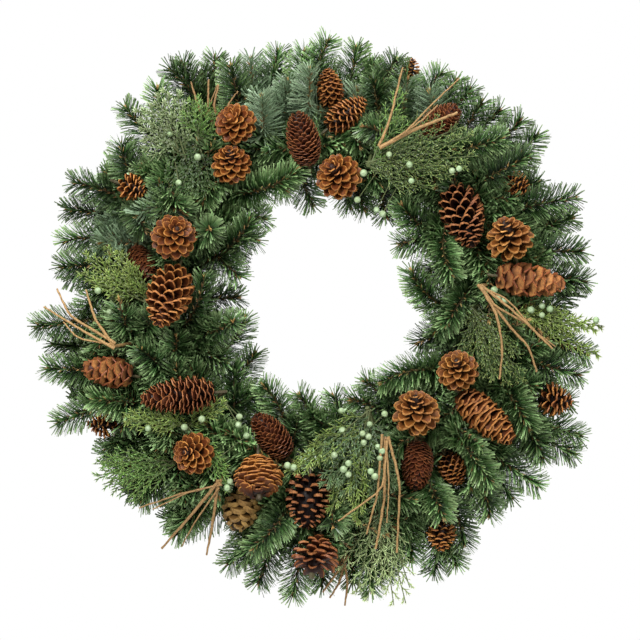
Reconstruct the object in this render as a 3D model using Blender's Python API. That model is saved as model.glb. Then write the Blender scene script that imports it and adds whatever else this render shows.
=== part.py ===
# A pine and pinecone wreath, about 610 mm across its needle tips, upright as it hangs.
# The ring lies in the XZ plane with its front towards -Y and its flat back on y = 0.
# The origin is the seat of the hook, under the top of the frame's inner ring.
import math

import bmesh
import bpy
import numpy as np

MM = 0.001  # every size below is in millimetres

# Places come from the front view, on a square grid of 640 units with x to the right and y down.
UNIT = 1.05  # millimetres in one unit of that grid
RING_CENTRE = (323, 308)  # the ring's centre on the grid

# Wire frame: two hexagonal wire rings with a flat facet to the back, and ties across their front.
INNER_RING, OUTER_RING = 170.0, 202.0  # radii of the rings' centre lines
RING_STEPS = 20
RING_WIRE = 2.0  # half of the wire's width across flats
TIE_WIRE = 1.8
TIE_DEPTH = 3.4
TIE_OVERRUN = 3.0
SECTORS = 10  # one branch and one tie each

# Branch stems
STEM_RADIUS = 186.0
STEM_WIRE = 6.0
STEM_STEPS = 4
SEAT_GAP = 0.3
STEM_DEPTH = TIE_DEPTH + TIE_WIRE + SEAT_GAP + STEM_WIRE
STEM_FRONT = STEM_DEPTH + STEM_WIRE
STEM_REACH = math.radians(180 / SECTORS - 0.3)
ROOT_REACH = math.radians(180 / SECTORS - 2.0)

# Needle tips and fronds: a slim three-sided core with whorls of six needles raised from its faces.
# The radii are those of the core at its root and its end, and bare is the share with no needles.
TIP_FORM = {"radii": (2.0, 1.3), "needle": 27.0, "slant": math.radians(54), "spread": 0.6,
            "spacing": 34.0, "most_whorls": 3, "bare": 0.45, "end_needle": 15.0}
FROND_FORM = {"radii": (1.5, 1.0), "needle": 17.0, "slant": math.radians(40), "spread": 0.6,
              "spacing": 34.0, "most_whorls": 3, "bare": 0.36, "end_needle": 12.0}
CORE_SIDES = 3
WHORL_LENGTH = 3.5
WHORL_TURN = math.radians(31)
NEEDLE_ROOT = 1.8
NEEDLE_REACHES = (1.0, 0.72)  # a needle that meets something is tried once more, shorter
FROND_BOWS = (4.0, 12.0, -8.0)  # how far a frond's middle is drawn to the front
TIP_LEAD = 0.4  # how far behind its visible start a tip's stem leaves the branch, in its lengths
DEPTH_SHIFTS = (0, 7, -7, 14, -14, 21, -21, 28, -28)
ROOT_SHIFTS = (0.0, 0.07, -0.07, 0.14, -0.14)  # radians along the branch stem
CLEAR = 0.45  # least gap kept between any two pieces' shapes
CORE_CLEAR = 0.4  # more room than that round a core
BACK_CLEAR = 0.6
BERRY_RADIUS = 4.7
STALK_RADIUS = 0.9

# Picks: the wires that hold cones, sprays and twigs to the branch stems.
PICK_RADIUS = 1.6
PICK_CLEAR = 1.0
PICK_LEG = 9.0
TWIG_RADIUS = (2.1, 1.6)
TWIG_SIDES = 3
HUB_RADIUS = 5.4
HUB_TURN = 0.6  # turns the block so that no frond leaves it by a corner
FROND_GAP = 3.5
SEAT_SHIFTS = (0.0, 0.04, -0.04, 0.08, -0.08, 0.12, -0.12, 0.16, -0.16, 0.2, -0.2, 0.25, -0.25)

# Cones: where the first and the last row of scales stand along the cone.
FIRST_ROW, LAST_ROW = 0.07, 0.93
SCALE_CLEAR = 1.8  # room kept round the outline for the scales' tips

# Numbers that keep the pieces apart while they are placed; branches are 1 and up.
CONE_NODE, TWIG_NODE, SPRAY_NODE = 100, 200, 300

HOOK_HEIGHT = INNER_RING * math.cos(math.pi / RING_STEPS) - RING_WIRE / math.cos(math.pi / 6)

# Pine tips: visible start and end of the stem on the grid, then the depth in front of the back at each.
RIM_TIPS = [
    (313, 62, 328, 40, 46, 42), (382, 84, 396, 59, 48, 44),
    (418, 102, 441, 72, 40, 34), (448, 114, 470, 89, 50, 42), (478, 130, 501, 109, 36, 30),
    (497, 146, 521, 120, 56, 50), (524, 190, 560, 163, 44, 36),
    (513, 208, 573, 198, 66, 58), (520, 234, 580, 214, 40, 32), (535, 250, 581, 251, 60, 52),
    (540, 276, 586, 281, 38, 30), (545, 312, 584, 308, 26, 22), (545, 336, 587, 354, 54, 46),
    (532, 362, 578, 375, 66, 58), (540, 398, 584, 404, 34, 28), (540, 424, 580, 436, 46, 40),
    (504, 465, 538, 485, 56, 48), (538, 428, 541, 458, 70, 64), (491, 490, 490, 515, 60, 52),
    (464, 522, 465, 544, 52, 46), (447, 547, 435, 573, 48, 42),
    (412, 534, 412, 560, 44, 36), (384, 540, 387, 578, 30, 24), (352, 545, 353, 584, 36, 28),
    (326, 555, 322, 588, 28, 22), (299, 572, 293, 595, 54, 46), (270, 556, 258, 584, 44, 36),
    (240, 548, 224, 568, 38, 30), (225, 528, 209, 554, 32, 26), (207, 508, 186, 538, 48, 40),
    (160, 472, 134, 493, 48, 40),
    (131, 438, 97, 451, 42, 34), (92, 410, 59, 422, 60, 52), (98, 390, 55, 391, 34, 28),
    (84, 374, 48, 368, 54, 46), (92, 350, 52, 344, 32, 26), (76, 320, 37, 326, 52, 44),
    (102, 293, 66, 290, 28, 24), (98, 263, 61, 266, 50, 42), (92, 231, 63, 241, 40, 34),
    (104, 211, 66, 208, 30, 26), (106, 187, 74, 182, 52, 44), (121, 173, 121, 145, 58, 50),
    (138, 126, 125, 107, 40, 34), (155, 112, 157, 88, 54, 46), (186, 80, 170, 68, 50, 42),
    (212, 98, 214, 56, 30, 24), (235, 94, 231, 66, 64, 56), (268, 96, 277, 50, 32, 24),
]
FACE_TIPS = [
    (309, 110, 310, 72, 78, 80), (290, 130, 288, 82, 58, 60), (268, 152, 262, 100, 84, 90),
    (354, 122, 357, 90, 62, 62), (380, 116, 373, 80, 54, 54),
    (352, 146, 332, 112, 44, 40), (152, 160, 180, 207, 80, 88), (128, 198, 146, 231, 76, 84),
    (94, 223, 109, 251, 60, 58), (124, 338, 121, 300, 78, 84), (178, 362, 177, 338, 66, 76),
    (174, 372, 142, 349, 78, 88), (139, 406, 96, 398, 76, 80), (199, 324, 205, 279, 78, 84),
    (208, 242, 211, 230, 60, 104), (442, 158, 499, 140, 80, 88), (476, 184, 526, 158, 84, 92),
    (438, 118, 430, 92, 56, 56), (406, 104, 408, 80, 52, 50), (470, 124, 482, 102, 48, 44),
    (508, 388, 528, 427, 78, 78), (452, 430, 489, 480, 86, 88), (431, 484, 442, 515, 84, 88),
    (285, 520, 254, 546, 88, 92), (334, 504, 333, 524, 64, 100), (232, 446, 212, 470, 56, 54),
    (215, 398, 192, 370, 60, 62),
    (154, 286, 150, 322, 50, 54), (478, 330, 516, 346, 54, 56),
]
HOLE_TIPS = [
    (254, 208, 297, 171, 84, 92), (226, 270, 249, 222, 68, 74), (222, 300, 244, 297, 42, 48),
    (236, 350, 245, 319, 54, 60), (248, 372, 261, 350, 34, 38), (292, 412, 264, 386, 56, 60),
    (318, 420, 300, 396, 44, 48), (346, 420, 334, 397, 34, 40), (408, 352, 361, 380, 70, 76),
    (420, 372, 388, 391, 50, 54), (412, 302, 400, 267, 56, 62), (420, 240, 402, 206, 68, 74),
    (430, 240, 450, 274, 88, 96), (462, 290, 446, 324, 86, 92), (448, 300, 436, 331, 58, 62),
    (430, 330, 412, 346, 44, 48), (300, 180, 312, 203, 34, 36), 
    (378, 194, 386, 216, 44, 48), (238, 224, 236, 258, 36, 40),
    (376, 398, 352, 400, 58, 62), (226, 330, 234, 322, 70, 96),
]

# Cones: centre on the grid and depth, the way the tip points (degrees in the picture, then degrees
# towards the front), length, width and kind.
CONES = [
    (236, 125, 98, 130, 58, 42, 46, "rosette"), (232, 165, 92, 95, 46, 44, 44, "rosette"),
    (303, 140, 98, 103, 24, 61, 36, "spruce"), (338, 177, 92, 130, 55, 50, 51, "rosette"),
    (330, 88, 58, 98, 10, 44, 30, "long"), (346, 115, 70, 38, 5, 54, 32, "long"),
    (176, 237, 96, 60, 66, 48, 50, "open"), (170, 297, 94, -108, 32, 76, 50, "long"),
    (133, 188, 66, -20, 20, 34, 30, "open"), (107, 371, 76, 170, 10, 54, 36, "flat"),
    (180, 395, 96, 185, 15, 84, 43, "long"), (101, 425, 40, 175, 5, 36, 30, "open"),
    (194, 452, 94, 170, 62, 44, 46, "rosette"), (259, 474, 94, 92, -26, 48, 54, "open"),
    (240, 512, 60, -100, 10, 44, 40, "blocky"), (271, 435, 64, 128, 8, 58, 35, "spruce"),
    (308, 500, 80, -95, 14, 62, 50, "long"), (316, 554, 78, 78, -22, 46, 52, "open"),
    (415, 410, 96, 95, 42, 50, 52, "open"), (456, 369, 96, 100, 58, 44, 46, "rosette"),
    (417, 466, 66, -95, 20, 54, 35, "spruce"), (484, 416, 84, -42, 14, 78, 42, "flat"),
    (556, 400, 52, -10, 8, 40, 38, "open"), (530, 281, 84, -8, 5, 74, 39, "flat"),
    (507, 238, 92, 110, 34, 48, 52, "open"), (462, 217, 84, -74, 22, 74, 48, "long"),
    (441, 121, 80, 35, 10, 48, 32, "spruce"), (518, 184, 52, -30, 10, 30, 28, "open"),
    (412, 66, 26, 80, 5, 24, 22, "open"), (442, 537, 46, -90, 5, 34, 34, "open"),
    (453, 470, 48, -62, 10, 38, 30, "long"), (142, 264, 54, -60, 15, 42, 28, "spruce"),
]
# Each kind: scales round the cone, rows of them, how far a scale stands out and leans to the tip,
# half its lip's width, and the two powers that shape the outline.
CONE_KINDS = {
    "rosette": (6, 5, 5.0, 3.4, 3.6, 0.80, 0.62),
    "open": (6, 4, 8.0, 3.0, 4.2, 0.72, 0.60),
    "long": (6, 5, 5.4, 4.0, 3.4, 0.76, 0.50),
    "spruce": (6, 6, 3.2, 3.4, 0.0, 0.90, 0.40),
    "flat": (6, 5, 3.4, 3.6, 3.4, 0.78, 0.44),
    "blocky": (6, 4, 3.2, 2.0, 4.0, 0.86, 0.55),
}
SMALL_CONE = 34  # cones no wider than this have one row less

# Sprays: where the fronds meet on the grid, with the depth, then each frond's end.
SPRAYS = {
    "cedar_upper_left_sage": ((186, 160, 84), [
        (166, 92, 74), (148, 104, 70), (138, 122, 62), (142, 142, 68)]),
    "cedar_upper_left_green": ((200, 140, 78), [(193, 102, 72), (212, 110, 62)]),
    "cedar_upper_right": ((368, 166, 100), [
        (458, 130, 98), (474, 158, 100), (450, 176, 100), (410, 188, 98)]),
    "juniper_left": ((146, 300, 66), [
        (84, 254, 60), (104, 244, 58), (92, 282, 66)]),
    "cedar_lower_left": ((174, 462, 66), [(96, 476, 58), (112, 490, 54), (106, 462, 60)]),
    "juniper_lower_left": ((186, 424, 82), [(126, 412, 92), (150, 420, 92), (226, 402, 84)]),
    "cedar_lower_middle": ((368, 410, 84), [
        (300, 466, 108), (332, 484, 106), (352, 500, 104), (378, 502, 100)]),
    "cedar_bottom_rim": ((380, 500, 62), [
        (356, 596, 44), (382, 590, 48), (406, 604, 46)]),
    "cedar_right": ((474, 306, 72), [(464, 362, 80), (492, 378, 92), (520, 378, 82)]),
    "juniper_right": ((510, 312, 56), [(602, 326, 62), (560, 312, 64), (572, 334, 54)]),
}
BERRIES = {
    "cedar_upper_left_sage": [(180, 184, 92), (171, 135, 80)],
    "cedar_upper_left_green": [(199, 160, 96)],
    "cedar_upper_right": [(388, 157, 112), (405, 169, 111), (450, 172, 110), (376, 211, 90)],
    "juniper_left": [(99, 291, 74), (110, 312, 70)],
    "juniper_lower_left": [(150, 428, 96), (186, 428, 96), (240, 416, 84)],
    "cedar_lower_middle": [(291, 463, 112), (340, 412, 88), (366, 434, 104),
                           (346, 465, 112)],
    "juniper_right": [(503, 301, 76), (530, 310, 72), (544, 309, 70), (595, 321, 68)],
}

# Twigs: where a bundle is gathered on the grid, with the depth, then each twig's bend and end.
TWIGS = {
    "twigs_upper_left": ((222, 132, 66), [
        ((200, 112, 66), (191, 82, 62)), ((208, 110, 70), (209, 80, 68)),
        ((214, 106, 74), (219, 86, 74)), ((228, 106, 72), (238, 92, 70))]),
    "twigs_upper_right": ((380, 150, 114), [
        ((412, 133, 116), (455, 116, 116)), ((404, 136, 121), (422, 116, 122), (457, 82, 112)),
        ((388, 126, 108), (402, 70, 92))]),
    "twigs_left": ((116, 346, 100), [
        ((72, 316, 92), (59, 289, 84)), ((84, 330, 97), (46, 307, 84)), ((97, 318, 98), (88, 290, 90))]),
    "twigs_right": ((478, 286, 106), [
        ((514, 314, 111), (549, 348, 108)), ((492, 306, 109), (525, 324, 105)),
        ((494, 314, 112), (500, 346, 112), (497, 378, 106)),
        ((510, 330, 106), (526, 346, 104), (534, 371, 100))]),
    "twigs_lower_left": ((220, 482, 100), [
        ((182, 492, 92), (140, 507, 78)), ((192, 514, 86), (162, 548, 64)),
        ((214, 520, 88), (207, 554, 72))]),
    "twigs_lower_middle": ((384, 436, 112), [
        ((382, 486, 116), (338, 518, 110)), ((377, 490, 110), (366, 531, 104)),
        ((384, 496, 104), (375, 546, 98)), ((399, 480, 110), (396, 550, 96))]),
    "twigs_bottom": ((346, 560, 40), [
        ((334, 578, 42), (323, 594, 38)), ((340, 584, 36), (330, 600, 32)),
        ((348, 584, 46), (345, 607, 42))]),
}

SHARP_TURN = math.radians(50)

# Finishes: colour, roughness, metallic
FINISHES = {
    "frame_wire": ((0.05, 0.09, 0.05), 0.5, 0.6),
    "pine_needles": ((0.045, 0.11, 0.05), 0.55, 0.0),
    "cone_scales": ((0.28, 0.12, 0.045), 0.6, 0.0),
    "cedar_leaf": ((0.13, 0.24, 0.07), 0.55, 0.0),
    "twig_bark": ((0.42, 0.25, 0.11), 0.7, 0.0),
}


def at(place):
    """A place on the grid with its depth, in millimetres from the hook's seat."""
    x, y, depth = place
    return np.array([(x - RING_CENTRE[0]) * UNIT, -depth, (RING_CENTRE[1] - y) * UNIT - HOOK_HEIGHT])


def on_ring(radius, angle, depth):
    return np.array([radius * math.cos(angle), -depth, radius * math.sin(angle) - HOOK_HEIGHT])


def ring_angle(point):
    return math.atan2(point[2] + HOOK_HEIGHT, point[0])


def unit(vector):
    return vector / np.linalg.norm(vector)


def across(axis):
    """Two directions square to the axis and to each other, which with it make a right-handed set."""
    helper = np.array([0.0, -1.0, 0.0]) if abs(axis[1]) < 0.9 else np.array([0.0, 0.0, 1.0])
    side = unit(np.cross(helper, axis))
    return side, np.cross(axis, side)


class Taken:
    """The space already filled, kept as tapered rods, so that later pieces can keep clear of it."""

    def __init__(self, room=16000):
        self.start, self.end = np.zeros((room, 3)), np.zeros((room, 3))
        self.radii = np.zeros((room, 2))
        self.node, self.group = np.zeros(room, int), np.zeros(room, int)
        self.count = 0

    def add(self, start, end, radii, node, group):
        k = self.count
        self.start[k], self.end[k], self.radii[k] = start, end, radii
        self.node[k], self.group[k] = node, group
        self.count += 1

    def gaps(self, start, end, radii):
        """The gap from one rod to every rod kept so far."""
        n = self.count
        a0, b0, r = self.start[:n], self.end[:n], self.radii[:n]
        d1, d2, w = end - start, b0 - a0, start - a0
        a, e = d1 @ d1, (d2 * d2).sum(1) + 1e-9
        b, c, f = d2 @ d1, w @ d1, (d2 * w).sum(1)
        flat = np.maximum(a * e - b * b, 1e-9)
        s = np.clip((b * f - c * e) / flat, 0, 1)
        t = (b * s + f) / e
        s = np.where(t < 0, np.clip(-c / a, 0, 1), np.where(t > 1, np.clip((b - c) / a, 0, 1), s))
        t = np.clip(t, 0, 1)
        apart = np.linalg.norm(w + s[:, None] * d1 - t[:, None] * d2, axis=1)
        own = radii[0] + (radii[1] - radii[0]) * s
        return apart - own - (r[:, 0] + (r[:, 1] - r[:, 0]) * t)

    def room_for(self, start, end, radii, node, group, with_own=True):
        """Whether a rod keeps clear of other nodes, and of its own node's other groups if asked."""
        gaps = self.gaps(start, end, radii)
        others = self.node[: self.count] != node
        if with_own:
            others |= self.group[: self.count] != group
        return not (gaps[others] < CLEAR).any()

    def room(self, start, end, node):
        """The room round a pick's wire, to everything but the stems, the frame and its own node."""
        gaps = self.gaps(start, end, (PICK_RADIUS, PICK_RADIUS))
        others = (self.node[: self.count] != node) & (self.node[: self.count] >= CONE_NODE)
        return gaps[others].min(initial=100.0)


taken = Taken()
group_numbers = iter(range(1, 100000))


def make_object(name, points, faces, finish):
    mesh = bpy.data.meshes.new(name)
    mesh.from_pydata([tuple(p * MM) for p in points], [], faces)
    obj = bpy.data.objects.new(name, mesh)
    bpy.context.scene.collection.objects.link(obj)
    mesh.materials.append(finish_material(finish))
    shade(mesh)
    return obj


def shade(mesh):
    """Smooth over the gentle turns of wires, balls and cones, sharp at every needle's edges."""
    mesh.shade_smooth()
    mesh.set_sharp_from_angle(angle=SHARP_TURN)


def finish_material(finish):
    material = bpy.data.materials.get(finish)
    if material is None:
        colour, roughness, metallic = FINISHES[finish]
        material = bpy.data.materials.new(finish)
        material.use_nodes = True
        shader = material.node_tree.nodes["Principled BSDF"]
        shader.inputs["Base Color"].default_value = (*colour, 1.0)
        shader.inputs["Roughness"].default_value = roughness
        shader.inputs["Metallic"].default_value = metallic
    return material


def tube(path, radii, sides, turn=0.0):
    """A closed tube along a path, with a radius at each of its points."""
    points, faces = [], []
    path = [np.asarray(p, float) for p in path]
    side, up = None, None
    for k, centre in enumerate(path):
        axis = unit(path[min(k + 1, len(path) - 1)] - path[max(k - 1, 0)])
        if side is None:
            side, up = across(axis)
        else:
            side = unit(side - axis * (side @ axis))
            up = np.cross(axis, side)
        for j in range(sides):
            angle = turn + 2 * math.pi * j / sides
            points.append(centre + radii[k] * (math.cos(angle) * side + math.sin(angle) * up))
    for k in range(len(path) - 1):
        for j in range(sides):
            a, b = k * sides + j, k * sides + (j + 1) % sides
            faces.append((a, b, b + sides, a + sides))
    faces.append(tuple(reversed(range(sides))))
    faces.append(tuple(range((len(path) - 1) * sides, len(path) * sides)))
    return points, faces


def arc_tube(radius, depth, half_flats, start, stop, steps, closed):
    """A hexagonal wire along an arc of the ring, with flat facets to the front and the back."""
    corner = half_flats / math.cos(math.pi / 6)
    points, faces = [], []
    stations = steps if closed else steps + 1
    for k in range(stations):
        angle = start + (stop - start) * k / steps
        for j in range(6):
            turn = math.pi * j / 3
            points.append(on_ring(radius + corner * math.cos(turn), angle, depth + corner * math.sin(turn)))
    for k in range(steps):
        for j in range(6):
            a, b = k * 6 + j, k * 6 + (j + 1) % 6
            c, d = ((k + 1) % stations) * 6 + (j + 1) % 6, ((k + 1) % stations) * 6 + j
            faces.append((d, c, b, a))
    if not closed:
        faces.append(tuple(range(6)))
        faces.append(tuple(reversed(range(steps * 6, steps * 6 + 6))))
    return points, faces


def fused(name, shapes, finish):
    """One solid from the first shape and the union of the rest with it."""
    base = make_object(name, *shapes[0], finish)
    if len(shapes) == 1:
        return base
    group = bpy.data.collections.new(name + "_repeats")
    bpy.context.scene.collection.children.link(group)
    for k, shape in enumerate(shapes[1:]):
        extra = make_object(f"{name}_repeat_{k}", *shape, finish)
        bpy.context.scene.collection.objects.unlink(extra)
        group.objects.link(extra)
    union = base.modifiers.new("Union", "BOOLEAN")
    union.operation, union.operand_type, union.collection = "UNION", "COLLECTION", group
    union.solver = "EXACT"
    graph = bpy.context.evaluated_depsgraph_get()
    joined = bpy.data.meshes.new_from_object(base.evaluated_get(graph))
    base.modifiers.clear()
    base.data = joined
    keep_largest(joined)
    shade(joined)
    for extra in list(group.objects):
        bpy.data.objects.remove(extra)
    bpy.data.collections.remove(group)
    return base


def keep_largest(mesh):
    """Drops the loose scraps and fills the sealed hollows that a union leaves."""
    built = bmesh.new()
    built.from_mesh(mesh)
    left = set(built.verts)
    islands = []
    while left:
        edge = [left.pop()]
        island = set(edge)
        while edge:
            here = edge.pop()
            for other in (link.other_vert(here) for link in here.link_edges):
                if other in left:
                    left.remove(other)
                    island.add(other)
                    edge.append(other)
        islands.append(island)
    largest = max(islands, key=len)
    scraps = [vert for island in islands if island is not largest for vert in island]
    bmesh.ops.delete(built, geom=scraps, context="VERTS")
    built.to_mesh(mesh)
    built.free()


def make_frame():
    """The two rings and the ties welded across their front."""
    half = math.pi / RING_STEPS
    shapes = [arc_tube(r, RING_WIRE, RING_WIRE, half, half + 2 * math.pi, RING_STEPS, True)
              for r in (INNER_RING, OUTER_RING)]
    for k in range(SECTORS):
        angle = sector_middle(k)
        ends = [on_ring(r, angle, TIE_DEPTH) for r in (INNER_RING - TIE_OVERRUN, OUTER_RING + TIE_OVERRUN)]
        shapes.append(tube(ends, [TIE_WIRE / math.cos(math.pi / 4)] * 2, 4, math.pi / 4))
        taken.add(ends[0], ends[1], (TIE_WIRE, TIE_WIRE), 0, 0)
    for radius in (INNER_RING, OUTER_RING):
        for k in range(RING_STEPS):
            ends = [on_ring(radius, half * (2 * s + 1), RING_WIRE) for s in (k, k + 1)]
            taken.add(ends[0], ends[1], (RING_WIRE * 1.2, RING_WIRE * 1.2), 0, 0)
    return fused("wire_frame", shapes, "frame_wire")


def sector_middle(k):
    return math.pi / 2 + 2 * math.pi * k / SECTORS


def sector_of(angle):
    return round((angle - math.pi / 2) / (2 * math.pi / SECTORS)) % SECTORS


def root_angle(angle):
    """The angle kept to its own branch's stem, and that branch's number."""
    k = sector_of(angle)
    off = (angle - sector_middle(k) + math.pi) % (2 * math.pi) - math.pi
    return k, sector_middle(k) + max(-ROOT_REACH, min(ROOT_REACH, off))


def stem_shape(k):
    start, stop = sector_middle(k) - STEM_REACH, sector_middle(k) + STEM_REACH
    return arc_tube(STEM_RADIUS, STEM_DEPTH, STEM_WIRE, start, stop, STEM_STEPS, False)


def take_stem(k):
    angles = np.linspace(sector_middle(k) - STEM_REACH, sector_middle(k) + STEM_REACH, STEM_STEPS + 1)
    path = [on_ring(STEM_RADIUS, angle, STEM_DEPTH) for angle in angles]
    take_path(path, (STEM_WIRE,) * len(path), k + 1, 0)


def pick_foot(point, node):
    """Where the pick of something at this point ends: its seat on a stem, and the knee before it."""
    feet = []
    for turn in SEAT_SHIFTS:
        _, angle = root_angle(ring_angle(point) + turn)
        seat = on_ring(STEM_RADIUS, angle, STEM_FRONT + SEAT_GAP)
        knee = seat + np.array([0.0, -PICK_LEG, 0.0])
        room = min(taken.room(seat, knee, node), taken.room(knee, point, node))
        if room > PICK_CLEAR:
            return seat, knee
        feet.append((room, seat, knee))
    room, seat, knee = max(feet, key=lambda foot: foot[0])
    if room < CLEAR:
        print(f"the pick of node {node} has {room:.1f} mm of room")
    return seat, knee


def take_path(path, radii, node, group):
    for k in range(len(path) - 1):
        taken.add(path[k], path[k + 1], radii[k:k + 2], node, group)


def cone_outline(t, kind, width):
    first, second = CONE_KINDS[kind][5:]
    return width / 2 * math.sin(math.pi * t ** first) ** second


def cone_axis(cone):
    """The base of a cone and the way it points."""
    x, y, depth, turn, lift, length = cone[:6]
    turn, lift = math.radians(turn), math.radians(lift)
    axis = np.array([math.cos(turn) * math.cos(lift), -math.sin(lift), math.sin(turn) * math.cos(lift)])
    return at((x, y, depth)) - axis * length / 2, axis


def take_cone(number, cone):
    length, width, kind = cone[5:]
    base, axis = cone_axis(cone)
    shares = np.linspace(0.04, 0.96, 6)
    body = [base + axis * length * t for t in shares]
    take_path(body, [cone_outline(t, kind, width) + SCALE_CLEAR for t in shares], CONE_NODE + number, 0)


def make_cone(number, cone):
    """A cone with staggered scales raised from its core, and the pick that holds it.

    A cone that shows its base is held by its tip.
    """
    length, width, kind = cone[5:]
    around, rows, stand, lean, lip = CONE_KINDS[kind][:5]
    if width <= SMALL_CONE:
        around, rows = around - 1, rows - 1
    base, axis = cone_axis(cone)
    held_by_tip = cone[4] < 0
    if held_by_tip:
        base, axis, lean = base + axis * length, -axis, -lean
    side = across(axis)[0]
    heel = base - axis * PICK_LEG
    seat, knee = pick_foot(heel, CONE_NODE + number)
    neck = PICK_RADIUS * 1.6
    points, faces = [], []

    def ring(middle, radius, first, second, offset):
        for j in range(around):
            angle = 2 * math.pi * (j + offset) / around
            points.append(middle + radius * (math.cos(angle) * first + math.sin(angle) * second))

    forward = np.array([0.0, -1.0, 0.0])
    rise = unit(heel - knee)
    normals = [forward, unit(forward + rise), unit(rise + axis), axis]
    first = unit(side - forward * (side @ forward))
    for middle, normal, radius in zip((seat, knee, heel, base), normals, (PICK_RADIUS,) * 3 + (neck,)):
        first = unit(first - normal * (first @ normal))
        ring(middle, radius, first, np.cross(normal, first), 0.0)
    side, up = first, np.cross(axis, first)
    swells = []
    for i in range(rows + 1):
        t = FIRST_ROW + (LAST_ROW - FIRST_ROW) * i / rows
        swell = 0.45 + 0.55 * math.sin(math.pi * t)
        outline = cone_outline(1 - t if held_by_tip else t, kind, width)
        radius = max(outline - stand * swell, neck)
        ring(base + axis * length * t, radius, side, up, 0.5 * (i % 2))
        swells.append(swell)
    tip = len(points)
    points.append(base + axis * length)
    faces.append(tuple(reversed(range(around))))
    stem_rings = 4
    for k in range(stem_rings):
        for j in range(around):
            a, b = k * around + j, k * around + (j + 1) % around
            faces.append((a, b, b + around, a + around))

    def corner(i, j):
        return (stem_rings + i) * around + j % around

    for i in range(rows + 1):
        shift = i % 2
        for j in range(around):
            left, right = corner(i, j), corner(i, j + 1)
            top = corner(i + 1, j + shift) if i < rows else tip
            bottom = corner(i - 1, j + shift)
            if i == 0:
                faces.append((left, right, top))
                continue
            if i == rows:
                faces.extend([(left, bottom, right), (left, right, top)])
                continue
            angle = 2 * math.pi * (j + 0.5 + 0.5 * shift) / around
            out = math.cos(angle) * side + math.sin(angle) * up
            along = np.cross(axis, out)
            middle = (points[left] + points[right] + points[top] + points[bottom]) / 4
            middle = middle + swells[i] * (stand * out * 1.15 + lean * axis)
            p = len(points)
            if lip == 0:
                points.append(middle)
                faces.extend([(left, bottom, p), (bottom, right, p), (right, top, p), (top, left, p)])
            else:
                points.extend([middle - along * lip * swells[i], middle + along * lip * swells[i]])
                faces.extend([(left, bottom, p), (bottom, p + 1, p), (bottom, right, p + 1),
                              (right, top, p + 1), (top, p, p + 1), (top, left, p)])
    take_path([seat, knee, heel, base], (PICK_RADIUS,) * 3 + (neck,), CONE_NODE + number, 0)
    return make_object(f"cone_{number:02d}_{kind}", points, faces, "cone_scales")


def bowed(root, middle, end, shares):
    """Points on one bow from the root to the end, drawn towards the middle point."""
    t = np.asarray(shares)[:, None]
    return (1 - t) ** 2 * root + 2 * t * (1 - t) * middle + t ** 2 * end


def core_of(bow, form):
    """The core's points along a bow, two at each whorl, and its radii there."""
    fine = bowed(*bow, np.linspace(0, 1, 41))
    length = np.concatenate([[0], np.cumsum(np.linalg.norm(np.diff(fine, axis=0), axis=1))])
    total = length[-1]
    bare = total * form["bare"]
    whorls = min(max(2, round((total - bare) / form["spacing"])), form["most_whorls"])
    starts = np.linspace(bare, total - WHORL_LENGTH, whorls)
    stations = np.concatenate([[0.0], np.stack([starts, starts + WHORL_LENGTH], 1).ravel()])
    path = np.stack([np.interp(stations, length, fine[:, k]) for k in range(3)], 1)
    root, end = form["radii"]
    return path, root + (end - root) * stations / total


def end_point(path, form):
    """The point of the needle that ends a core."""
    return path[-1] + unit(path[-1] - path[-2]) * form["end_needle"]


def brush(core, node, group, form):
    """A slim core with whorls of needles raised from its faces wherever there is room."""
    path, radii = core
    points, faces, axes = [], [], []
    side = None
    for k, centre in enumerate(path):
        ends_whorl = k > 0 and k % 2 == 0
        axis = unit(centre - path[k - 1]) if ends_whorl else unit(path[k + 1] - centre)
        axes.append(axis)
        side = across(axis)[0] if side is None else unit(side - axis * (side @ axis))
        up = np.cross(axis, side)
        turn = WHORL_TURN * ((k + 1) // 2) + group
        for j in range(CORE_SIDES):
            angle = turn + 2 * math.pi * j / CORE_SIDES
            points.append(centre + radii[k] * (math.cos(angle) * side + math.sin(angle) * up))
    last = (len(path) - 1) * CORE_SIDES
    apex = len(points)
    points.append(end_point(path, form))
    faces.append(tuple(reversed(range(CORE_SIDES))))
    faces.extend((last + j, last + (j + 1) % CORE_SIDES, apex) for j in range(CORE_SIDES))
    for k in range(len(path) - 1):
        in_whorl = k % 2 == 1
        for j in range(CORE_SIDES):
            a, b = k * CORE_SIDES + j, k * CORE_SIDES + (j + 1) % CORE_SIDES
            c, d = b + CORE_SIDES, a + CORE_SIDES
            if not in_whorl:
                faces.append((a, b, c, d))
                continue
            for three, lean in (((a, b, c), form["spread"]), ((a, c, d), -form["spread"])):
                tip = needle_tip([points[i] for i in three], axes[k], lean, node, group, form)
                if tip is None:
                    faces.append(three)
                    continue
                n = len(points)
                points.append(tip)
                faces.extend([(three[0], three[1], n), (three[1], three[2], n), (three[2], three[0], n)])
    return points, faces


def needle_tip(corners, axis, lean, node, group, form):
    """The tip of a needle raised from these three corners, or nothing where it would meet another piece."""
    foot = sum(corners) / 3
    normal = unit(np.cross(corners[1] - corners[0], corners[2] - corners[0]))
    out = unit(normal + lean * np.cross(axis, normal))
    way = math.sin(form["slant"]) * out + math.cos(form["slant"]) * axis
    for reach in NEEDLE_REACHES:
        tip = foot + form["needle"] * reach * way
        rod = (foot + (tip - foot) * 0.1, tip, (NEEDLE_ROOT, 0.1))
        if tip[1] < -BACK_CLEAR and taken.room_for(*rod, node, group):
            taken.add(*rod, node, group)
            return tip
    return None


def core_room(core, node, form):
    """Whether a core keeps clear, leaving out its first stretch beside its own stem."""
    path, radii = core
    path = [*path, end_point(path, form)]
    radii = np.append(radii, 0.0) + CORE_CLEAR
    for k in range(len(path) - 1):
        if path[k + 1][1] > -BACK_CLEAR - radii[k]:
            return False
        if not taken.room_for(path[k], path[k + 1], radii[k:k + 2], node, -1, with_own=k > 0):
            return False
    return True


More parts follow.
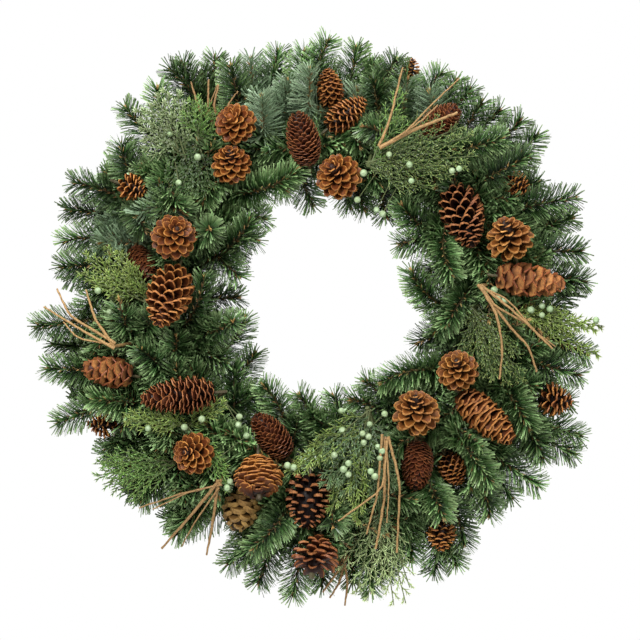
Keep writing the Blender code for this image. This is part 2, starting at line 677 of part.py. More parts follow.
def keep_core(core, node, form):
    """Fills the space of a core and of the needle at its end, and gives the number of its group."""
    group = next(group_numbers)
    path, radii = core
    take_path([*path, end_point(path, form)], np.append(radii, 0.1), node, group)
    return group


def settle_tip(tip):
    """The branch number and the core of a tip, moved to the first place that has room."""
    x0, y0, x1, y1, d0, d1 = tip
    wanted = ring_angle(at((x0 - TIP_LEAD * (x1 - x0), y0 - TIP_LEAD * (y1 - y0), 0)))
    own = sector_of(wanted)
    for turn in ROOT_SHIFTS:
        k, angle = root_angle(wanted + turn)
        if k != own:
            continue
        root = on_ring(STEM_RADIUS, angle, STEM_DEPTH)
        for shift in DEPTH_SHIFTS:
            core = core_of((root, at((x0, y0, d0 + shift)), at((x1, y1, d1 + shift))), TIP_FORM)
            if core_room(core, k + 1, TIP_FORM):
                return k, core
    return None


def settle_frond(root, place, node):
    """The core of a frond from its hub, moved in depth to the first place that has room."""
    for shift in DEPTH_SHIFTS:
        end = at(place) + np.array([0.0, -shift, 0.0])
        for lift in FROND_BOWS:
            core = core_of((root, (root + end) / 2 + np.array([0.0, -lift, 0.0]), end), FROND_FORM)
            if core_room(core, node, FROND_FORM):
                return core
    return None


def make_branches():
    """The branch stems with every pine tip, each branch fused into one solid."""
    tips = []
    for tip in HOLE_TIPS + RIM_TIPS + FACE_TIPS:
        settled = settle_tip(tip)
        if settled is None:
            print("no room for tip", tip)
            continue
        k, core = settled
        tips.append((k, core, keep_core(core, k + 1, TIP_FORM)))
    for k in range(SECTORS):
        shapes = [stem_shape(k)]
        shapes += [brush(core, k + 1, group, TIP_FORM) for branch, core, group in tips if branch == k]
        fused(f"pine_branch_{k + 1:02d}", shapes, "pine_needles")


def ball(centre, radius):
    """A 20-sided ball."""
    long, short = 0.850651 * radius, 0.525731 * radius
    points = []
    for a in (-short, short):
        for b in (-long, long):
            points += [np.array([a, b, 0.0]), np.array([0.0, a, b]), np.array([b, 0.0, a])]
    faces = []
    edge = 2 * short * 1.01
    for i in range(12):
        for j in range(i + 1, 12):
            for k in range(j + 1, 12):
                a, b, c = points[i], points[j], points[k]
                if max(np.linalg.norm(a - b), np.linalg.norm(b - c), np.linalg.norm(a - c)) < edge:
                    outward = np.cross(b - a, c - a) @ (a + b + c) > 0
                    faces.append((i, j, k) if outward else (i, k, j))
    return [centre + p for p in points], faces


def pick_and_hub(root, node, spread, half_width):
    """The block where a bundle meets, wide along the spread, and the pick from it to a branch stem."""
    seat, knee = pick_foot(root, node)
    take_path([seat, knee, root], (PICK_RADIUS,) * 3, node, 0)
    ends = (root - spread * half_width, root + spread * half_width)
    taken.add(*ends, (1.0, HUB_RADIUS), node, 0)
    taken.add(*ends, (HUB_RADIUS, 1.0), node, 0)
    forward = np.array([0.0, -1.0, 0.0])
    first = unit(np.cross(spread, forward) + HUB_TURN * forward)
    corners = (spread * half_width, first * HUB_RADIUS, np.cross(spread, first) * HUB_RADIUS)
    return [tube([seat, knee, root], [PICK_RADIUS] * 3, 4), hub_block(root, corners)]


def hub_block(centre, corners):
    """An eight-sided block with its corners at these three half axes and their opposites."""
    points = [centre + sign * corner for corner in corners for sign in (1, -1)]
    faces = []
    for x in (0, 1):
        for y in (2, 3):
            for z in (4, 5):
                three = (x, y, z)
                faces.append(three if (x + y + z) % 2 == 0 else three[::-1])
    return points, faces


def settle_spray(number, name):
    """A spray's hub, pick, frond cores and berries, before its leaves are raised."""
    meeting, places = SPRAYS[name]
    node = SPRAY_NODE + number
    hub = at(meeting)
    ways = [unit(at(place) - hub) for place in places]
    heading = unit(sum(ways))
    spread = unit(np.cross(heading, np.array([0.0, -1.0, 0.0])))
    shapes = pick_and_hub(hub, node, spread, FROND_GAP * len(places) / 2 + HUB_RADIUS / 2)
    order = np.argsort([way @ spread for way in ways])
    fronds = []
    knots = []
    for rank, k in enumerate(order):
        root = hub + spread * FROND_GAP * (rank - (len(places) - 1) / 2)
        core = settle_frond(root, places[k], node)
        if core is None:
            print("no room for frond", name, places[k])
            continue
        fronds.append((core, keep_core(core, node, FROND_FORM)))
        for start, stop in zip(core[0], core[0][1:]):
            knots.extend([start + 0.3 * (stop - start), start + 0.7 * (stop - start)])
    for place in BERRIES.get(name, []):
        centre = at(place)
        near = knots[np.argmin([np.linalg.norm(knot - centre) for knot in knots])]
        taken.add(centre, centre + 0.01, (BERRY_RADIUS, BERRY_RADIUS), node, 0)
        taken.add(centre, near, (STALK_RADIUS, STALK_RADIUS), node, 0)
        shapes += [tube([near, centre], [STALK_RADIUS] * 2, 3), ball(centre, BERRY_RADIUS)]
    return node, name, shapes, fronds


def finish_spray(node, name, shapes, fronds):
    shapes += [brush(core, node, group, FROND_FORM) for core, group in fronds]
    return fused(name, shapes, "cedar_leaf")


def make_twigs(number, name):
    """A bundle of cut twigs that fan out from one place."""
    meeting, twigs = TWIGS[name]
    node = TWIG_NODE + number
    root = at(meeting)
    shapes = pick_and_hub(root, node, np.array([1.0, 0.0, 0.0]), HUB_RADIUS)
    for k, knots in enumerate(twigs):
        path = [root] + [at(knot) for knot in knots]
        radii = np.linspace(TWIG_RADIUS[0], TWIG_RADIUS[1], len(path))
        take_path(path, radii, node, 0)
        shapes.append(tube(path, radii, TWIG_SIDES, 0.3 * k))
    return fused(name, shapes, "twig_bark")


def main():
    for obj in list(bpy.data.objects):
        bpy.data.objects.remove(obj)
    make_frame()
    for k in range(SECTORS):
        take_stem(k)
    for number, cone in enumerate(CONES, 1):
        take_cone(number, cone)
    for number, cone in enumerate(CONES, 1):
        make_cone(number, cone)
    for number, name in enumerate(TWIGS):
        make_twigs(number, name)
    sprays = [settle_spray(number, name) for number, name in enumerate(SPRAYS)]
    make_branches()
    for spray in sprays:
        finish_spray(*spray)


main()
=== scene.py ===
# A pine and pinecone wreath as it hangs: pine tips, cones, cedar and juniper sprays with berries,
# and cut twigs on a ring of wire. Sizes are in metres, and the wreath faces -Y.
import math

import bmesh
import bpy
import numpy as np
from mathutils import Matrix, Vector


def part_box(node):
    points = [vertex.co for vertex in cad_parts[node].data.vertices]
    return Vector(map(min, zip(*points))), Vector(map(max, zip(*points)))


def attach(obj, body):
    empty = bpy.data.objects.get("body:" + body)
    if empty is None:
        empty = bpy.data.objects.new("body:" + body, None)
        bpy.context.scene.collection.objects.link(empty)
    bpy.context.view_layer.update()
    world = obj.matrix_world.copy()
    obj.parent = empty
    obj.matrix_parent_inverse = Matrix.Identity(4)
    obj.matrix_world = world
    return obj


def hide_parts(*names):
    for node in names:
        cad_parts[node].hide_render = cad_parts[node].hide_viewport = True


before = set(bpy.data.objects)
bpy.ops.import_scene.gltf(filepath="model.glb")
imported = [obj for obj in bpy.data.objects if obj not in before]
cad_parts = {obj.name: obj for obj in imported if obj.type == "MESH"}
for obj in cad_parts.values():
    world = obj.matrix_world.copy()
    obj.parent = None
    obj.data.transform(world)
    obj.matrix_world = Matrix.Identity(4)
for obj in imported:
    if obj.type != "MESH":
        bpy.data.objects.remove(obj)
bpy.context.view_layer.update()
print("Frame loaded:", len(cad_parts), "nodes")

mm = 0.001
draw = np.random.default_rng(11)

# Places are read on the front view, a square grid of 640 units with x to the right and y down,
# with a depth in millimetres in front of the wreath's flat back.
ringLow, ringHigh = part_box("wire_frame")
grid = {"unit": 1.05 * mm, "centre": (323, 308), "height": (ringLow[2] + ringHigh[2]) / 2}

wireFrame = {"inner": 170 * mm, "outer": 202 * mm, "wire": 2 * mm, "tie": 1.8 * mm,
             "tieDepth": 3.4 * mm, "overrun": 3 * mm, "sectors": 10}
branchStem = {"radius": 186 * mm, "depth": 11.5 * mm, "strand": 3.0 * mm, "offset": 2.9 * mm,
              "strands": 3, "points": 26, "turns": 2.6}
rootReach = math.radians(16)  # how far from its branch's middle a tip may leave the stem

rimTips = [
    (313, 62, 328, 40, 46, 42), (382, 84, 396, 59, 48, 44),
    (418, 102, 441, 72, 40, 34), (448, 114, 470, 89, 50, 42), (478, 130, 501, 109, 36, 30),
    (497, 146, 521, 120, 56, 50), (518, 196, 538, 182, 44, 36),
    (513, 208, 573, 198, 66, 58), (520, 234, 573, 217, 40, 32), (535, 250, 581, 251, 60, 52),
    (540, 276, 586, 281, 38, 30), (524, 314, 544, 312, 26, 22), (545, 336, 587, 354, 54, 46),
    (532, 362, 578, 375, 66, 58), (530, 398, 570, 402, 34, 28), (540, 424, 580, 436, 46, 40),
    (504, 465, 538, 485, 56, 48), (538, 428, 541, 458, 70, 64), (491, 490, 490, 515, 60, 52),
    (464, 522, 465, 544, 52, 46), (447, 547, 435, 573, 48, 42),
    (412, 534, 412, 560, 44, 36), (384, 540, 387, 578, 30, 24), (352, 545, 353, 584, 36, 28),
    (326, 555, 322, 588, 28, 22), (299, 572, 293, 595, 54, 46), (270, 556, 258, 584, 44, 36),
    (250, 548, 228, 566, 38, 30), (200, 506, 182, 528, 48, 40),
    (160, 472, 134, 493, 48, 40),
    (131, 438, 106, 449, 42, 34), (92, 410, 59, 422, 60, 52), (110, 390, 84, 391, 34, 28),
    (84, 374, 48, 368, 54, 46), (92, 350, 52, 344, 32, 26), (76, 320, 37, 326, 52, 44),
    (112, 293, 94, 291, 28, 24), (98, 263, 61, 266, 50, 42), (92, 231, 63, 241, 40, 34),
    (104, 211, 66, 208, 30, 26), (106, 187, 74, 182, 52, 44), (121, 173, 121, 145, 58, 50),
    (138, 126, 125, 107, 40, 34), (155, 112, 157, 88, 54, 46), (186, 80, 170, 68, 50, 42),
    (212, 98, 214, 56, 30, 24), (235, 94, 231, 66, 64, 56), (268, 96, 277, 50, 32, 24),
]
faceTips = [
    (309, 110, 310, 72, 78, 80), (290, 130, 288, 82, 58, 60), (268, 152, 262, 100, 84, 90),
    (354, 122, 357, 90, 62, 62), (380, 116, 373, 80, 54, 54),
    (352, 146, 332, 112, 44, 40), (152, 160, 180, 207, 80, 88), (128, 198, 146, 231, 76, 84),
    (94, 223, 109, 251, 60, 58), (124, 338, 121, 300, 78, 84), (178, 362, 177, 338, 66, 76),
    (174, 372, 142, 349, 78, 88), (139, 406, 96, 398, 76, 80), (199, 324, 205, 279, 78, 84),
    (208, 242, 211, 230, 60, 104), (442, 158, 499, 140, 80, 88), (476, 184, 526, 158, 84, 92),
    (438, 118, 430, 92, 56, 56), (406, 104, 408, 80, 52, 50), (470, 124, 482, 102, 48, 44),
    (508, 388, 528, 427, 78, 78), (452, 430, 489, 480, 86, 88), (431, 484, 442, 515, 84, 88),
    (285, 520, 254, 546, 88, 92), (334, 504, 333, 524, 64, 100), (232, 446, 212, 470, 56, 54),
    (215, 398, 192, 370, 60, 62),
    (154, 286, 150, 322, 50, 54), (478, 330, 516, 346, 54, 56),
]
holeTips = [
    (254, 208, 297, 171, 84, 92), (226, 270, 249, 222, 68, 74), (218, 300, 237, 297, 42, 48),
    (236, 350, 245, 319, 54, 60), (244, 374, 254, 355, 34, 38), (292, 412, 264, 386, 56, 60),
    (318, 420, 300, 396, 44, 48), (346, 420, 334, 397, 34, 40), (418, 360, 382, 382, 70, 76),
    (420, 372, 388, 391, 50, 54), (422, 306, 412, 272, 56, 62), (420, 240, 402, 206, 68, 74),
    (430, 240, 450, 274, 88, 96), (462, 290, 446, 324, 86, 92), (448, 300, 436, 331, 58, 62),
    (434, 330, 419, 343, 44, 48), (300, 180, 312, 203, 34, 36),
    (378, 194, 386, 216, 44, 48), (238, 224, 236, 258, 36, 40),
    (376, 398, 352, 400, 58, 62), (226, 330, 234, 322, 70, 96),
]

# Cones: centre on the grid and depth, the way the tip points (degrees in the picture, then degrees
# towards the front), length, width and kind.
coneList = [
    (236, 125, 98, 130, 58, 42, 46, "rosette"), (232, 165, 92, 95, 46, 44, 44, "rosette"),
    (303, 140, 98, 103, 24, 61, 36, "spruce"), (338, 177, 92, 130, 55, 50, 51, "rosette"),
    (330, 88, 58, 98, 10, 44, 30, "long"), (346, 115, 70, 38, 5, 54, 32, "long"),
    (176, 237, 96, 60, 66, 48, 50, "open"), (170, 297, 94, -108, 32, 76, 50, "long"),
    (133, 188, 66, -20, 20, 34, 30, "open"), (107, 371, 76, 170, 10, 54, 36, "flat"),
    (180, 395, 96, 185, 15, 84, 43, "long"), (101, 425, 40, 175, 5, 36, 30, "open"),
    (194, 452, 94, 170, 62, 44, 46, "rosette"), (259, 474, 94, 92, -26, 48, 54, "open"),
    (240, 512, 60, -100, 10, 44, 40, "blocky"), (271, 435, 64, 128, 8, 58, 35, "spruce"),
    (308, 500, 80, -95, 14, 62, 50, "long"), (316, 554, 78, 78, -22, 46, 52, "open"),
    (415, 410, 96, 95, 42, 50, 52, "open"), (456, 369, 96, 100, 58, 44, 46, "rosette"),
    (417, 466, 66, -95, 20, 54, 35, "spruce"), (484, 416, 84, -42, 14, 78, 42, "flat"),
    (556, 400, 52, -10, 8, 40, 38, "open"), (530, 281, 84, -8, 5, 74, 39, "flat"),
    (507, 238, 92, 110, 34, 48, 52, "open"), (462, 217, 84, -74, 22, 74, 48, "long"),
    (441, 121, 80, 35, 10, 48, 32, "spruce"), (518, 184, 52, -30, 10, 30, 28, "open"),
    (412, 66, 26, 80, 5, 24, 22, "open"), (442, 537, 46, -90, 5, 34, 34, "open"),
    (453, 470, 48, -62, 10, 38, 30, "long"), (142, 264, 54, -60, 15, 42, 28, "spruce"),
]
# Sprays: where the fronds meet on the grid, with the depth, then each frond's end.
sprayList = {
    "cedar_upper_left_sage": ((186, 160, 84), [
        (166, 92, 74), (148, 104, 70), (138, 122, 62), (142, 142, 68)]),
    "cedar_upper_left_green": ((200, 140, 78), [(193, 102, 72), (212, 110, 62)]),
    "cedar_upper_right": ((368, 166, 100), [
        (458, 130, 98), (474, 158, 100), (450, 176, 100), (410, 188, 98)]),
    "juniper_left": ((146, 300, 66), [
        (84, 254, 60), (104, 244, 58), (92, 282, 66)]),
    "cedar_lower_left": ((174, 462, 66), [(96, 476, 58), (112, 490, 54), (106, 462, 60)]),
    "juniper_lower_left": ((186, 424, 82), [(126, 412, 92), (150, 420, 92), (226, 402, 84)]),
    "cedar_lower_middle": ((368, 410, 84), [
        (300, 466, 108), (332, 484, 106), (352, 500, 104), (378, 502, 100)]),
    "cedar_bottom_rim": ((380, 500, 62), [
        (356, 596, 44), (382, 590, 48), (406, 604, 46)]),
    "cedar_right": ((474, 306, 72), [(464, 362, 80), (492, 378, 92), (520, 378, 82)]),
    "juniper_right": ((510, 312, 56), [(602, 326, 62), (560, 312, 64), (572, 334, 54)]),
}

# Twigs: where a bundle is gathered on the grid, with the depth, then each twig's bend and end.
twigList = {
    "twigs_upper_left": ((222, 132, 66), [
        ((200, 112, 66), (191, 82, 62)), ((208, 110, 70), (209, 80, 68)),
        ((214, 106, 74), (219, 86, 74)), ((228, 106, 72), (238, 92, 70))]),
    "twigs_upper_right": ((380, 150, 114), [
        ((412, 133, 116), (455, 116, 116)), ((404, 136, 121), (422, 116, 122), (457, 82, 112)),
        ((388, 126, 108), (402, 70, 92))]),
    "twigs_left": ((116, 346, 100), [
        ((72, 316, 92), (59, 289, 84)), ((84, 330, 97), (46, 307, 84)), ((97, 318, 98), (88, 290, 90))]),
    "twigs_right": ((478, 286, 106), [
        ((514, 314, 111), (549, 348, 108)), ((492, 306, 109), (525, 324, 105)),
        ((494, 314, 112), (500, 346, 112), (497, 378, 106)),
        ((510, 330, 106), (526, 346, 104), (534, 371, 100))]),
    "twigs_lower_left": ((220, 482, 100), [
        ((182, 492, 92), (140, 507, 78)), ((192, 514, 86), (162, 548, 64)),
        ((214, 520, 88), (207, 554, 72))]),
    "twigs_lower_middle": ((384, 436, 112), [
        ((382, 486, 116), (338, 518, 110)), ((377, 490, 110), (366, 531, 104)),
        ((384, 496, 104), (375, 546, 98)), ((399, 480, 110), (396, 550, 96))]),
    "twigs_bottom": ((346, 560, 40), [
        ((334, 578, 42), (323, 594, 38)), ((340, 584, 36), (330, 600, 32)),
        ((348, 584, 46), (345, 607, 42))]),
}

# Places on the wreath

def at(place):
    x, y, depth = place
    return np.array([(x - grid["centre"][0]) * grid["unit"], -depth * mm,
                     grid["height"] + (grid["centre"][1] - y) * grid["unit"]])


def onRing(radius, angle, depth):
    return np.array([radius * math.cos(angle), -depth, grid["height"] + radius * math.sin(angle)])


def ringAngle(point):
    return math.atan2(point[2] - grid["height"], point[0])


def unit(vector):
    return vector / np.linalg.norm(vector, axis=-1, keepdims=True)


def sectorMiddle(k):
    return math.pi / 2 + 2 * math.pi * k / wireFrame["sectors"]


def sectorOf(angle):
    step = 2 * math.pi / wireFrame["sectors"]
    return round((angle - math.pi / 2) / step) % wireFrame["sectors"]


def sideOf(axis):
    # a direction square to the axis
    helper = np.array([0.0, -1.0, 0.0]) if abs(axis[1]) < 0.9 else np.array([0.0, 0.0, 1.0])
    return unit(np.cross(helper, axis))


def bow(root, middle, end, count):
    t = np.linspace(0, 1, count)[:, None]
    return (1 - t) ** 2 * root + 2 * t * (1 - t) * middle + t ** 2 * end


def alongPath(path, distances):
    # points of a path and its directions there, at these distances from its start
    steps = np.linalg.norm(np.diff(path, axis=0), axis=1)
    length = np.concatenate([[0], np.cumsum(steps)])
    points = np.stack([np.interp(distances, length, path[:, k]) for k in range(3)], 1)
    ahead = np.stack([np.interp(distances + 0.5 * mm, length, path[:, k]) for k in range(3)], 1)
    behind = np.stack([np.interp(distances - 0.5 * mm, length, path[:, k]) for k in range(3)], 1)
    return points, unit(ahead - behind)


def pathLength(path):
    return np.linalg.norm(np.diff(path, axis=0), axis=1).sum()


# Shapes modelled once, to be copied

def freshStart():
    bpy.ops.object.select_all(action="DESELECT")
    bpy.context.tool_settings.mesh_select_mode = (True, False, False)


def choose(obj, wanted):
    # in edit mode, selects the points that pass the test, with the edges and faces between them
    mesh = bmesh.from_edit_mesh(obj.data)
    for vert in mesh.verts:
        vert.select = bool(wanted(vert.co))
    mesh.select_flush_mode()
    bmesh.update_edit_mesh(obj.data)


def shapeOf(obj, along):
    # the finished shape's points and faces, with how far along it each point lies
    bpy.ops.mesh.select_all(action="SELECT")
    bpy.ops.mesh.normals_make_consistent(inside=False)
    bpy.ops.object.mode_set(mode="OBJECT")
    mesh = obj.data
    shape = {"co": np.array([vert.co[:] for vert in mesh.vertices]),
             "loops": np.concatenate([face.vertices[:] for face in mesh.polygons]),
             "sizes": np.array([len(face.vertices) for face in mesh.polygons]),
             "along": np.array([along(vert.co) for vert in mesh.vertices])}
    bpy.data.objects.remove(obj)
    return shape


def modelNeedle(length, wide, end, thick):
    # a slim strip up +Z with a blunt end: four points that close as a flat, slightly twisted wedge
    freshStart()
    bpy.ops.mesh.primitive_cone_add(vertices=3, radius1=wide / math.sqrt(3), radius2=0, depth=length)
    strip = bpy.context.object
    bpy.ops.object.mode_set(mode="EDIT")
    bpy.ops.transform.translate(value=(0, wide / math.sqrt(12), length / 2))
    choose(strip, lambda co: co.z > length / 2)
    bpy.ops.transform.translate(value=(-end / 2, thick - wide / math.sqrt(12), 0))
    choose(strip, lambda co: co.z < length / 2 and abs(co.x) < wide / 4)
    bpy.ops.transform.translate(value=(end / 2, -thick - wide * math.sqrt(0.75), length))
    return shapeOf(strip, lambda co: co.z / length)


def modelPoint(length, radius, flat=1.0):
    # a short three-sided point up +Z, closed at its foot
    freshStart()
    bpy.ops.mesh.primitive_cone_add(vertices=3, radius1=radius, radius2=0, depth=length)
    point = bpy.context.object
    bpy.ops.object.mode_set(mode="EDIT")
    bpy.ops.transform.translate(value=(0, 0, length / 2))
    bpy.ops.transform.resize(value=(1, flat, 1), center_override=(0, 0, 0))
    return shapeOf(point, lambda co: co.z / length)


def modelScale(sides=10, narrow=0.35, thick=0.07, hollow=0.03, curl=0.12, lip=0.05, inset=0.12, cup=0.0):
    # a cone's scale, one unit long and wide: its root at the origin, its lip at x = 1, its inner
    # face up; the lip curls up and is thicker than the rest, and the sides bend up by the cup
    freshStart()
    bpy.ops.mesh.primitive_circle_add(vertices=sides, radius=0.5, fill_type="NGON")
    scale = bpy.context.object
    bpy.ops.object.mode_set(mode="EDIT")
    bpy.ops.transform.translate(value=(0.5, 0, 0))
    choose(scale, lambda co: co.x < 0.3)
    bpy.ops.transform.resize(value=(1, narrow, 1), center_override=(0, 0, 0))
    bpy.ops.mesh.select_all(action="SELECT")
    bpy.ops.mesh.extrude_region_move(TRANSFORM_OT_translate={"value": (0, 0, thick)})
    bpy.ops.mesh.inset(thickness=inset)
    bpy.ops.transform.translate(value=(0.02, 0, -hollow))
    choose(scale, lambda co: co.z < 0.001)
    bpy.ops.mesh.inset(thickness=inset)
    bpy.ops.transform.translate(value=(0.02, 0, -hollow * 0.6))
    choose(scale, lambda co: co.x > 0.6 and co.z < thick * 0.5)
    bpy.ops.transform.translate(value=(0, 0, -lip))
    choose(scale, lambda co: co.x > 0.7)
    bpy.ops.transform.translate(value=(-0.02, 0, curl))
    choose(scale, lambda co: abs(co.y) > 0.2)
    bpy.ops.transform.translate(value=(0, 0, cup / 2))
    choose(scale, lambda co: abs(co.y) > 0.42)
    bpy.ops.transform.translate(value=(0, 0, cup / 2))

    def along(co):
        return co.x if co.x < 0.4 else min(1.0, max(0.4, math.hypot(co.x - 0.5, co.y) / 0.48))
    return shapeOf(scale, along)


def modelCore():
    # the spindle that a cone's scales grow from, one unit long up +Z and one across
    freshStart()
    bpy.ops.mesh.primitive_uv_sphere_add(segments=10, ring_count=8, radius=0.5)
    core = bpy.context.object
    bpy.ops.object.mode_set(mode="EDIT")
    bpy.ops.transform.translate(value=(0, 0, 0.5))
    choose(core, lambda co: co.z < 0.3)
    bpy.ops.transform.resize(value=(1.15, 1.15, 1), center_override=(0, 0, 0.3))
    # the core takes only its finish's near-black root colour: painted shade deep between the scales
    return shapeOf(core, lambda co: 0.1)


def modelBerry():
    # a round berry, one unit across, dimpled where its flower was
    freshStart()
    bpy.ops.mesh.primitive_ico_sphere_add(subdivisions=2, radius=0.5)
    berry = bpy.context.object
    bpy.ops.object.mode_set(mode="EDIT")
    choose(berry, lambda co: co.z > 0.49)
    bpy.ops.transform.translate(value=(0, 0, -0.1))
    return shapeOf(berry, lambda co: max(0.0, co.z / 0.5))


# Piles of copies that become one piece

def newPile():
    return {"co": [], "loops": [], "sizes": [], "finish": [], "growth": [], "count": 0}


def pileUp(pile, shape, turns, places, finish, draws=None):
    # a copy of the shape at each place, turned and sized by its matrix; the draws vary its colour
    copies, corners = len(places), len(shape["co"])
    if copies == 0:
        return
    if draws is None:
        draws = draw.random((copies, 2))
    co = np.einsum("kij,nj->kni", turns, shape["co"]) + places[:, None, :]
    offsets = pile["count"] + corners * np.arange(copies)
    growth = np.ones((copies, corners, 4))
    growth[..., 0] = shape["along"]
    growth[..., 1] = draws[:, :1]
    growth[..., 2] = draws[:, 1:]
    pile["co"].append(co.reshape(-1, 3))
    pile["loops"].append((shape["loops"][None] + offsets[:, None]).ravel())
    pile["sizes"].append(np.tile(shape["sizes"], copies))
    pile["finish"].append(np.full(copies * len(shape["sizes"]), finish))
    pile["growth"].append(growth.reshape(-1, 4))
    pile["count"] += copies * corners


def standing(ways, widths):
    # turns that stand a shape's +Z along each way, with its X along the width
    x = unit(widths - ways * (widths * ways).sum(1, keepdims=True))
    return np.stack([x, np.cross(ways, x), ways], 2)


def rods(pile, paths, sides, finish):
    # round rods along paths, made as one beveled curve; each path is its points and its radii
    curve = bpy.data.curves.new("rods", "CURVE")
    curve.dimensions, curve.bevel_depth, curve.use_fill_caps = "3D", 1.0, True
    curve.bevel_resolution = sides // 2 - 2
    curve.twist_mode = "MINIMUM"
    for points, radii in paths:
        spline = curve.splines.new("POLY")
        spline.points.add(len(points) - 1)
        for spot, place, radius in zip(spline.points, points, radii):
            spot.co, spot.radius = (*place, 1), radius
    made = bpy.data.objects.new("rods", curve)
    bpy.context.scene.collection.objects.link(made)
    freshStart()
    made.select_set(True)
    bpy.context.view_layer.objects.active = made
    bpy.ops.object.convert(target="MESH")
    mesh = made.data
    along = np.concatenate([np.repeat(np.linspace(0, 1, len(points)), sides) for points, _ in paths])
    shape = {"co": np.array([vert.co[:] for vert in mesh.vertices]),
             "loops": np.concatenate([face.vertices[:] for face in mesh.polygons]),
             "sizes": np.array([len(face.vertices) for face in mesh.polygons]),
             "along": along if len(along) == len(mesh.vertices) else np.full(len(mesh.vertices), 0.5)}
    bpy.data.objects.remove(made)
    pileUp(pile, shape, np.eye(3)[None], np.zeros((1, 3)), finish)


def makePiece(name, pile, finishes, slot, *nodes):
    sizes = np.concatenate(pile["sizes"])
    mesh = bpy.data.meshes.new(name)
    mesh.vertices.add(pile["count"])
    mesh.vertices.foreach_set("co", np.concatenate(pile["co"]).ravel())
    mesh.loops.add(int(sizes.sum()))
    mesh.loops.foreach_set("vertex_index", np.concatenate(pile["loops"]).astype(np.int32))
    mesh.polygons.add(len(sizes))
    mesh.polygons.foreach_set("loop_start", (np.cumsum(sizes) - sizes).astype(np.int32))
    mesh.polygons.foreach_set("material_index", np.concatenate(pile["finish"]).astype(np.int32))
    mesh.update(calc_edges=True)
    growth = mesh.attributes.new("growth", "FLOAT_COLOR", "POINT")
    growth.data.foreach_set("color", np.concatenate(pile["growth"]).ravel())
    for finish in finishes:
        mesh.materials.append(finish)
    mesh.shade_smooth()
    mesh.set_sharp_from_angle(angle=math.radians(42))
    piece = bpy.data.objects.new(name, mesh)
    bpy.context.scene.collection.objects.link(piece)
    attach(piece, "root")
    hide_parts(*nodes)
    return piece


# Finishes

def addNode(tree, kind, settings=(), inputs=()):
    made = tree.nodes.new(kind)
    for name, value in dict(settings).items():
        setattr(made, name, value)
    for name, value in dict(inputs).items():
        if isinstance(value, bpy.types.NodeSocket):
            tree.links.new(value, made.inputs[name])
        else:
            made.inputs[name].default_value = value
    return made


def mixColour(tree, share, first, second, blend="MIX"):
    settings = {"data_type": "RGBA", "blend_type": blend, "clamp_factor": True}
    return addNode(tree, "ShaderNodeMix", settings, {0: share, 6: first, 7: second}).outputs[2]


def ramp(tree, value, low, high, start=0.0, stop=1.0):
    inputs = {"Value": value, "From Min": low, "From Max": high, "To Min": start, "To Max": stop}
    settings = {"interpolation_type": "SMOOTHSTEP"}
    return addNode(tree, "ShaderNodeMapRange", settings, inputs).outputs["Result"]


def sums(tree, operation, first, second):
    return addNode(tree, "ShaderNodeMath", {"operation": operation}, {0: first, 1: second}).outputs[0]


def newGroup(name, inputs, outputs):
    group = bpy.data.node_groups.new(name, "ShaderNodeTree")
    for label, kind in inputs:
        group.interface.new_socket(name=label, in_out="INPUT", socket_type=kind)
    for label, kind in outputs:
        group.interface.new_socket(name=label, in_out="OUTPUT", socket_type=kind)
    return group, group.nodes.new("NodeGroupInput").outputs, group.nodes.new("NodeGroupOutput").inputs


def makeTintGroup():
    # colour along a shape from its root to its end, varied from copy to copy and by broad patches
    group, given, gives = newGroup(
        "growthTintRootShade",
        [("Along", "NodeSocketFloat"), ("Own", "NodeSocketFloat"), ("Bunch", "NodeSocketFloat"),
         ("Root", "NodeSocketColor"), ("Middle", "NodeSocketColor"), ("End", "NodeSocketColor"),
         ("Frost", "NodeSocketColor"), ("Turn", "NodeSocketFloat"), ("Spread", "NodeSocketFloat"),
         ("Hue Spread", "NodeSocketFloat")],
        [("Colour", "NodeSocketColor"), ("Light", "NodeSocketFloat")])
    # up to 0.22 of its length a shape keeps its root colour, which most finishes make darker: painted shade where
    # roots sit deep among needles, leaves and scales
    inner = mixColour(group, ramp(group, given["Along"], 0.22, given["Turn"]), given["Root"], given["Middle"])
    outer = mixColour(group, ramp(group, given["Along"], given["Turn"], 1.0), inner, given["End"])
    both = sums(group, "ADD", sums(group, "MULTIPLY", given["Own"], 0.5),
                sums(group, "MULTIPLY", given["Bunch"], 0.5))
    light = sums(group, "ADD", 1.0, sums(group, "MULTIPLY", sums(group, "SUBTRACT", both, 0.5), given["Spread"]))
    turned = sums(group, "MULTIPLY", sums(group, "SUBTRACT", given["Own"], 0.5), given["Hue Spread"])
    hue = sums(group, "ADD", 0.5, turned)
    frosted = mixColour(group, ramp(group, given["Bunch"], 0.86, 0.96), outer, given["Frost"])
    varied = addNode(group, "ShaderNodeHueSaturation", (), {"Hue": hue, "Value": light, "Color": frosted})
    group.links.new(varied.outputs["Color"], gives["Colour"])
    group.links.new(light, gives["Light"])
    return group


def makeGrainGroup():
    # fine streaks or specks: the colour darkened by them, and their height
    group, given, gives = newGroup(
        "fineGrain",
        [("Colour", "NodeSocketColor"), ("Dark", "NodeSocketColor"), ("Scale", "NodeSocketFloat"),
         ("Amount", "NodeSocketFloat")],
        [("Colour", "NodeSocketColor"), ("Height", "NodeSocketFloat")])
    place = addNode(group, "ShaderNodeTexCoord").outputs["Object"]
    noise = addNode(group, "ShaderNodeTexNoise", (), {"Vector": place, "Scale": given["Scale"], "Detail": 5.0,
                                                      "Roughness": 0.65}).outputs["Fac"]
    share = sums(group, "MULTIPLY", ramp(group, noise, 0.4, 0.66), given["Amount"])
    group.links.new(mixColour(group, share, given["Colour"], given["Dark"]), gives["Colour"])
    group.links.new(noise, gives["Height"])
    return group


def useGroup(tree, group, inputs):
    return addNode(tree, "ShaderNodeGroup", {"node_tree": group}, inputs).outputs


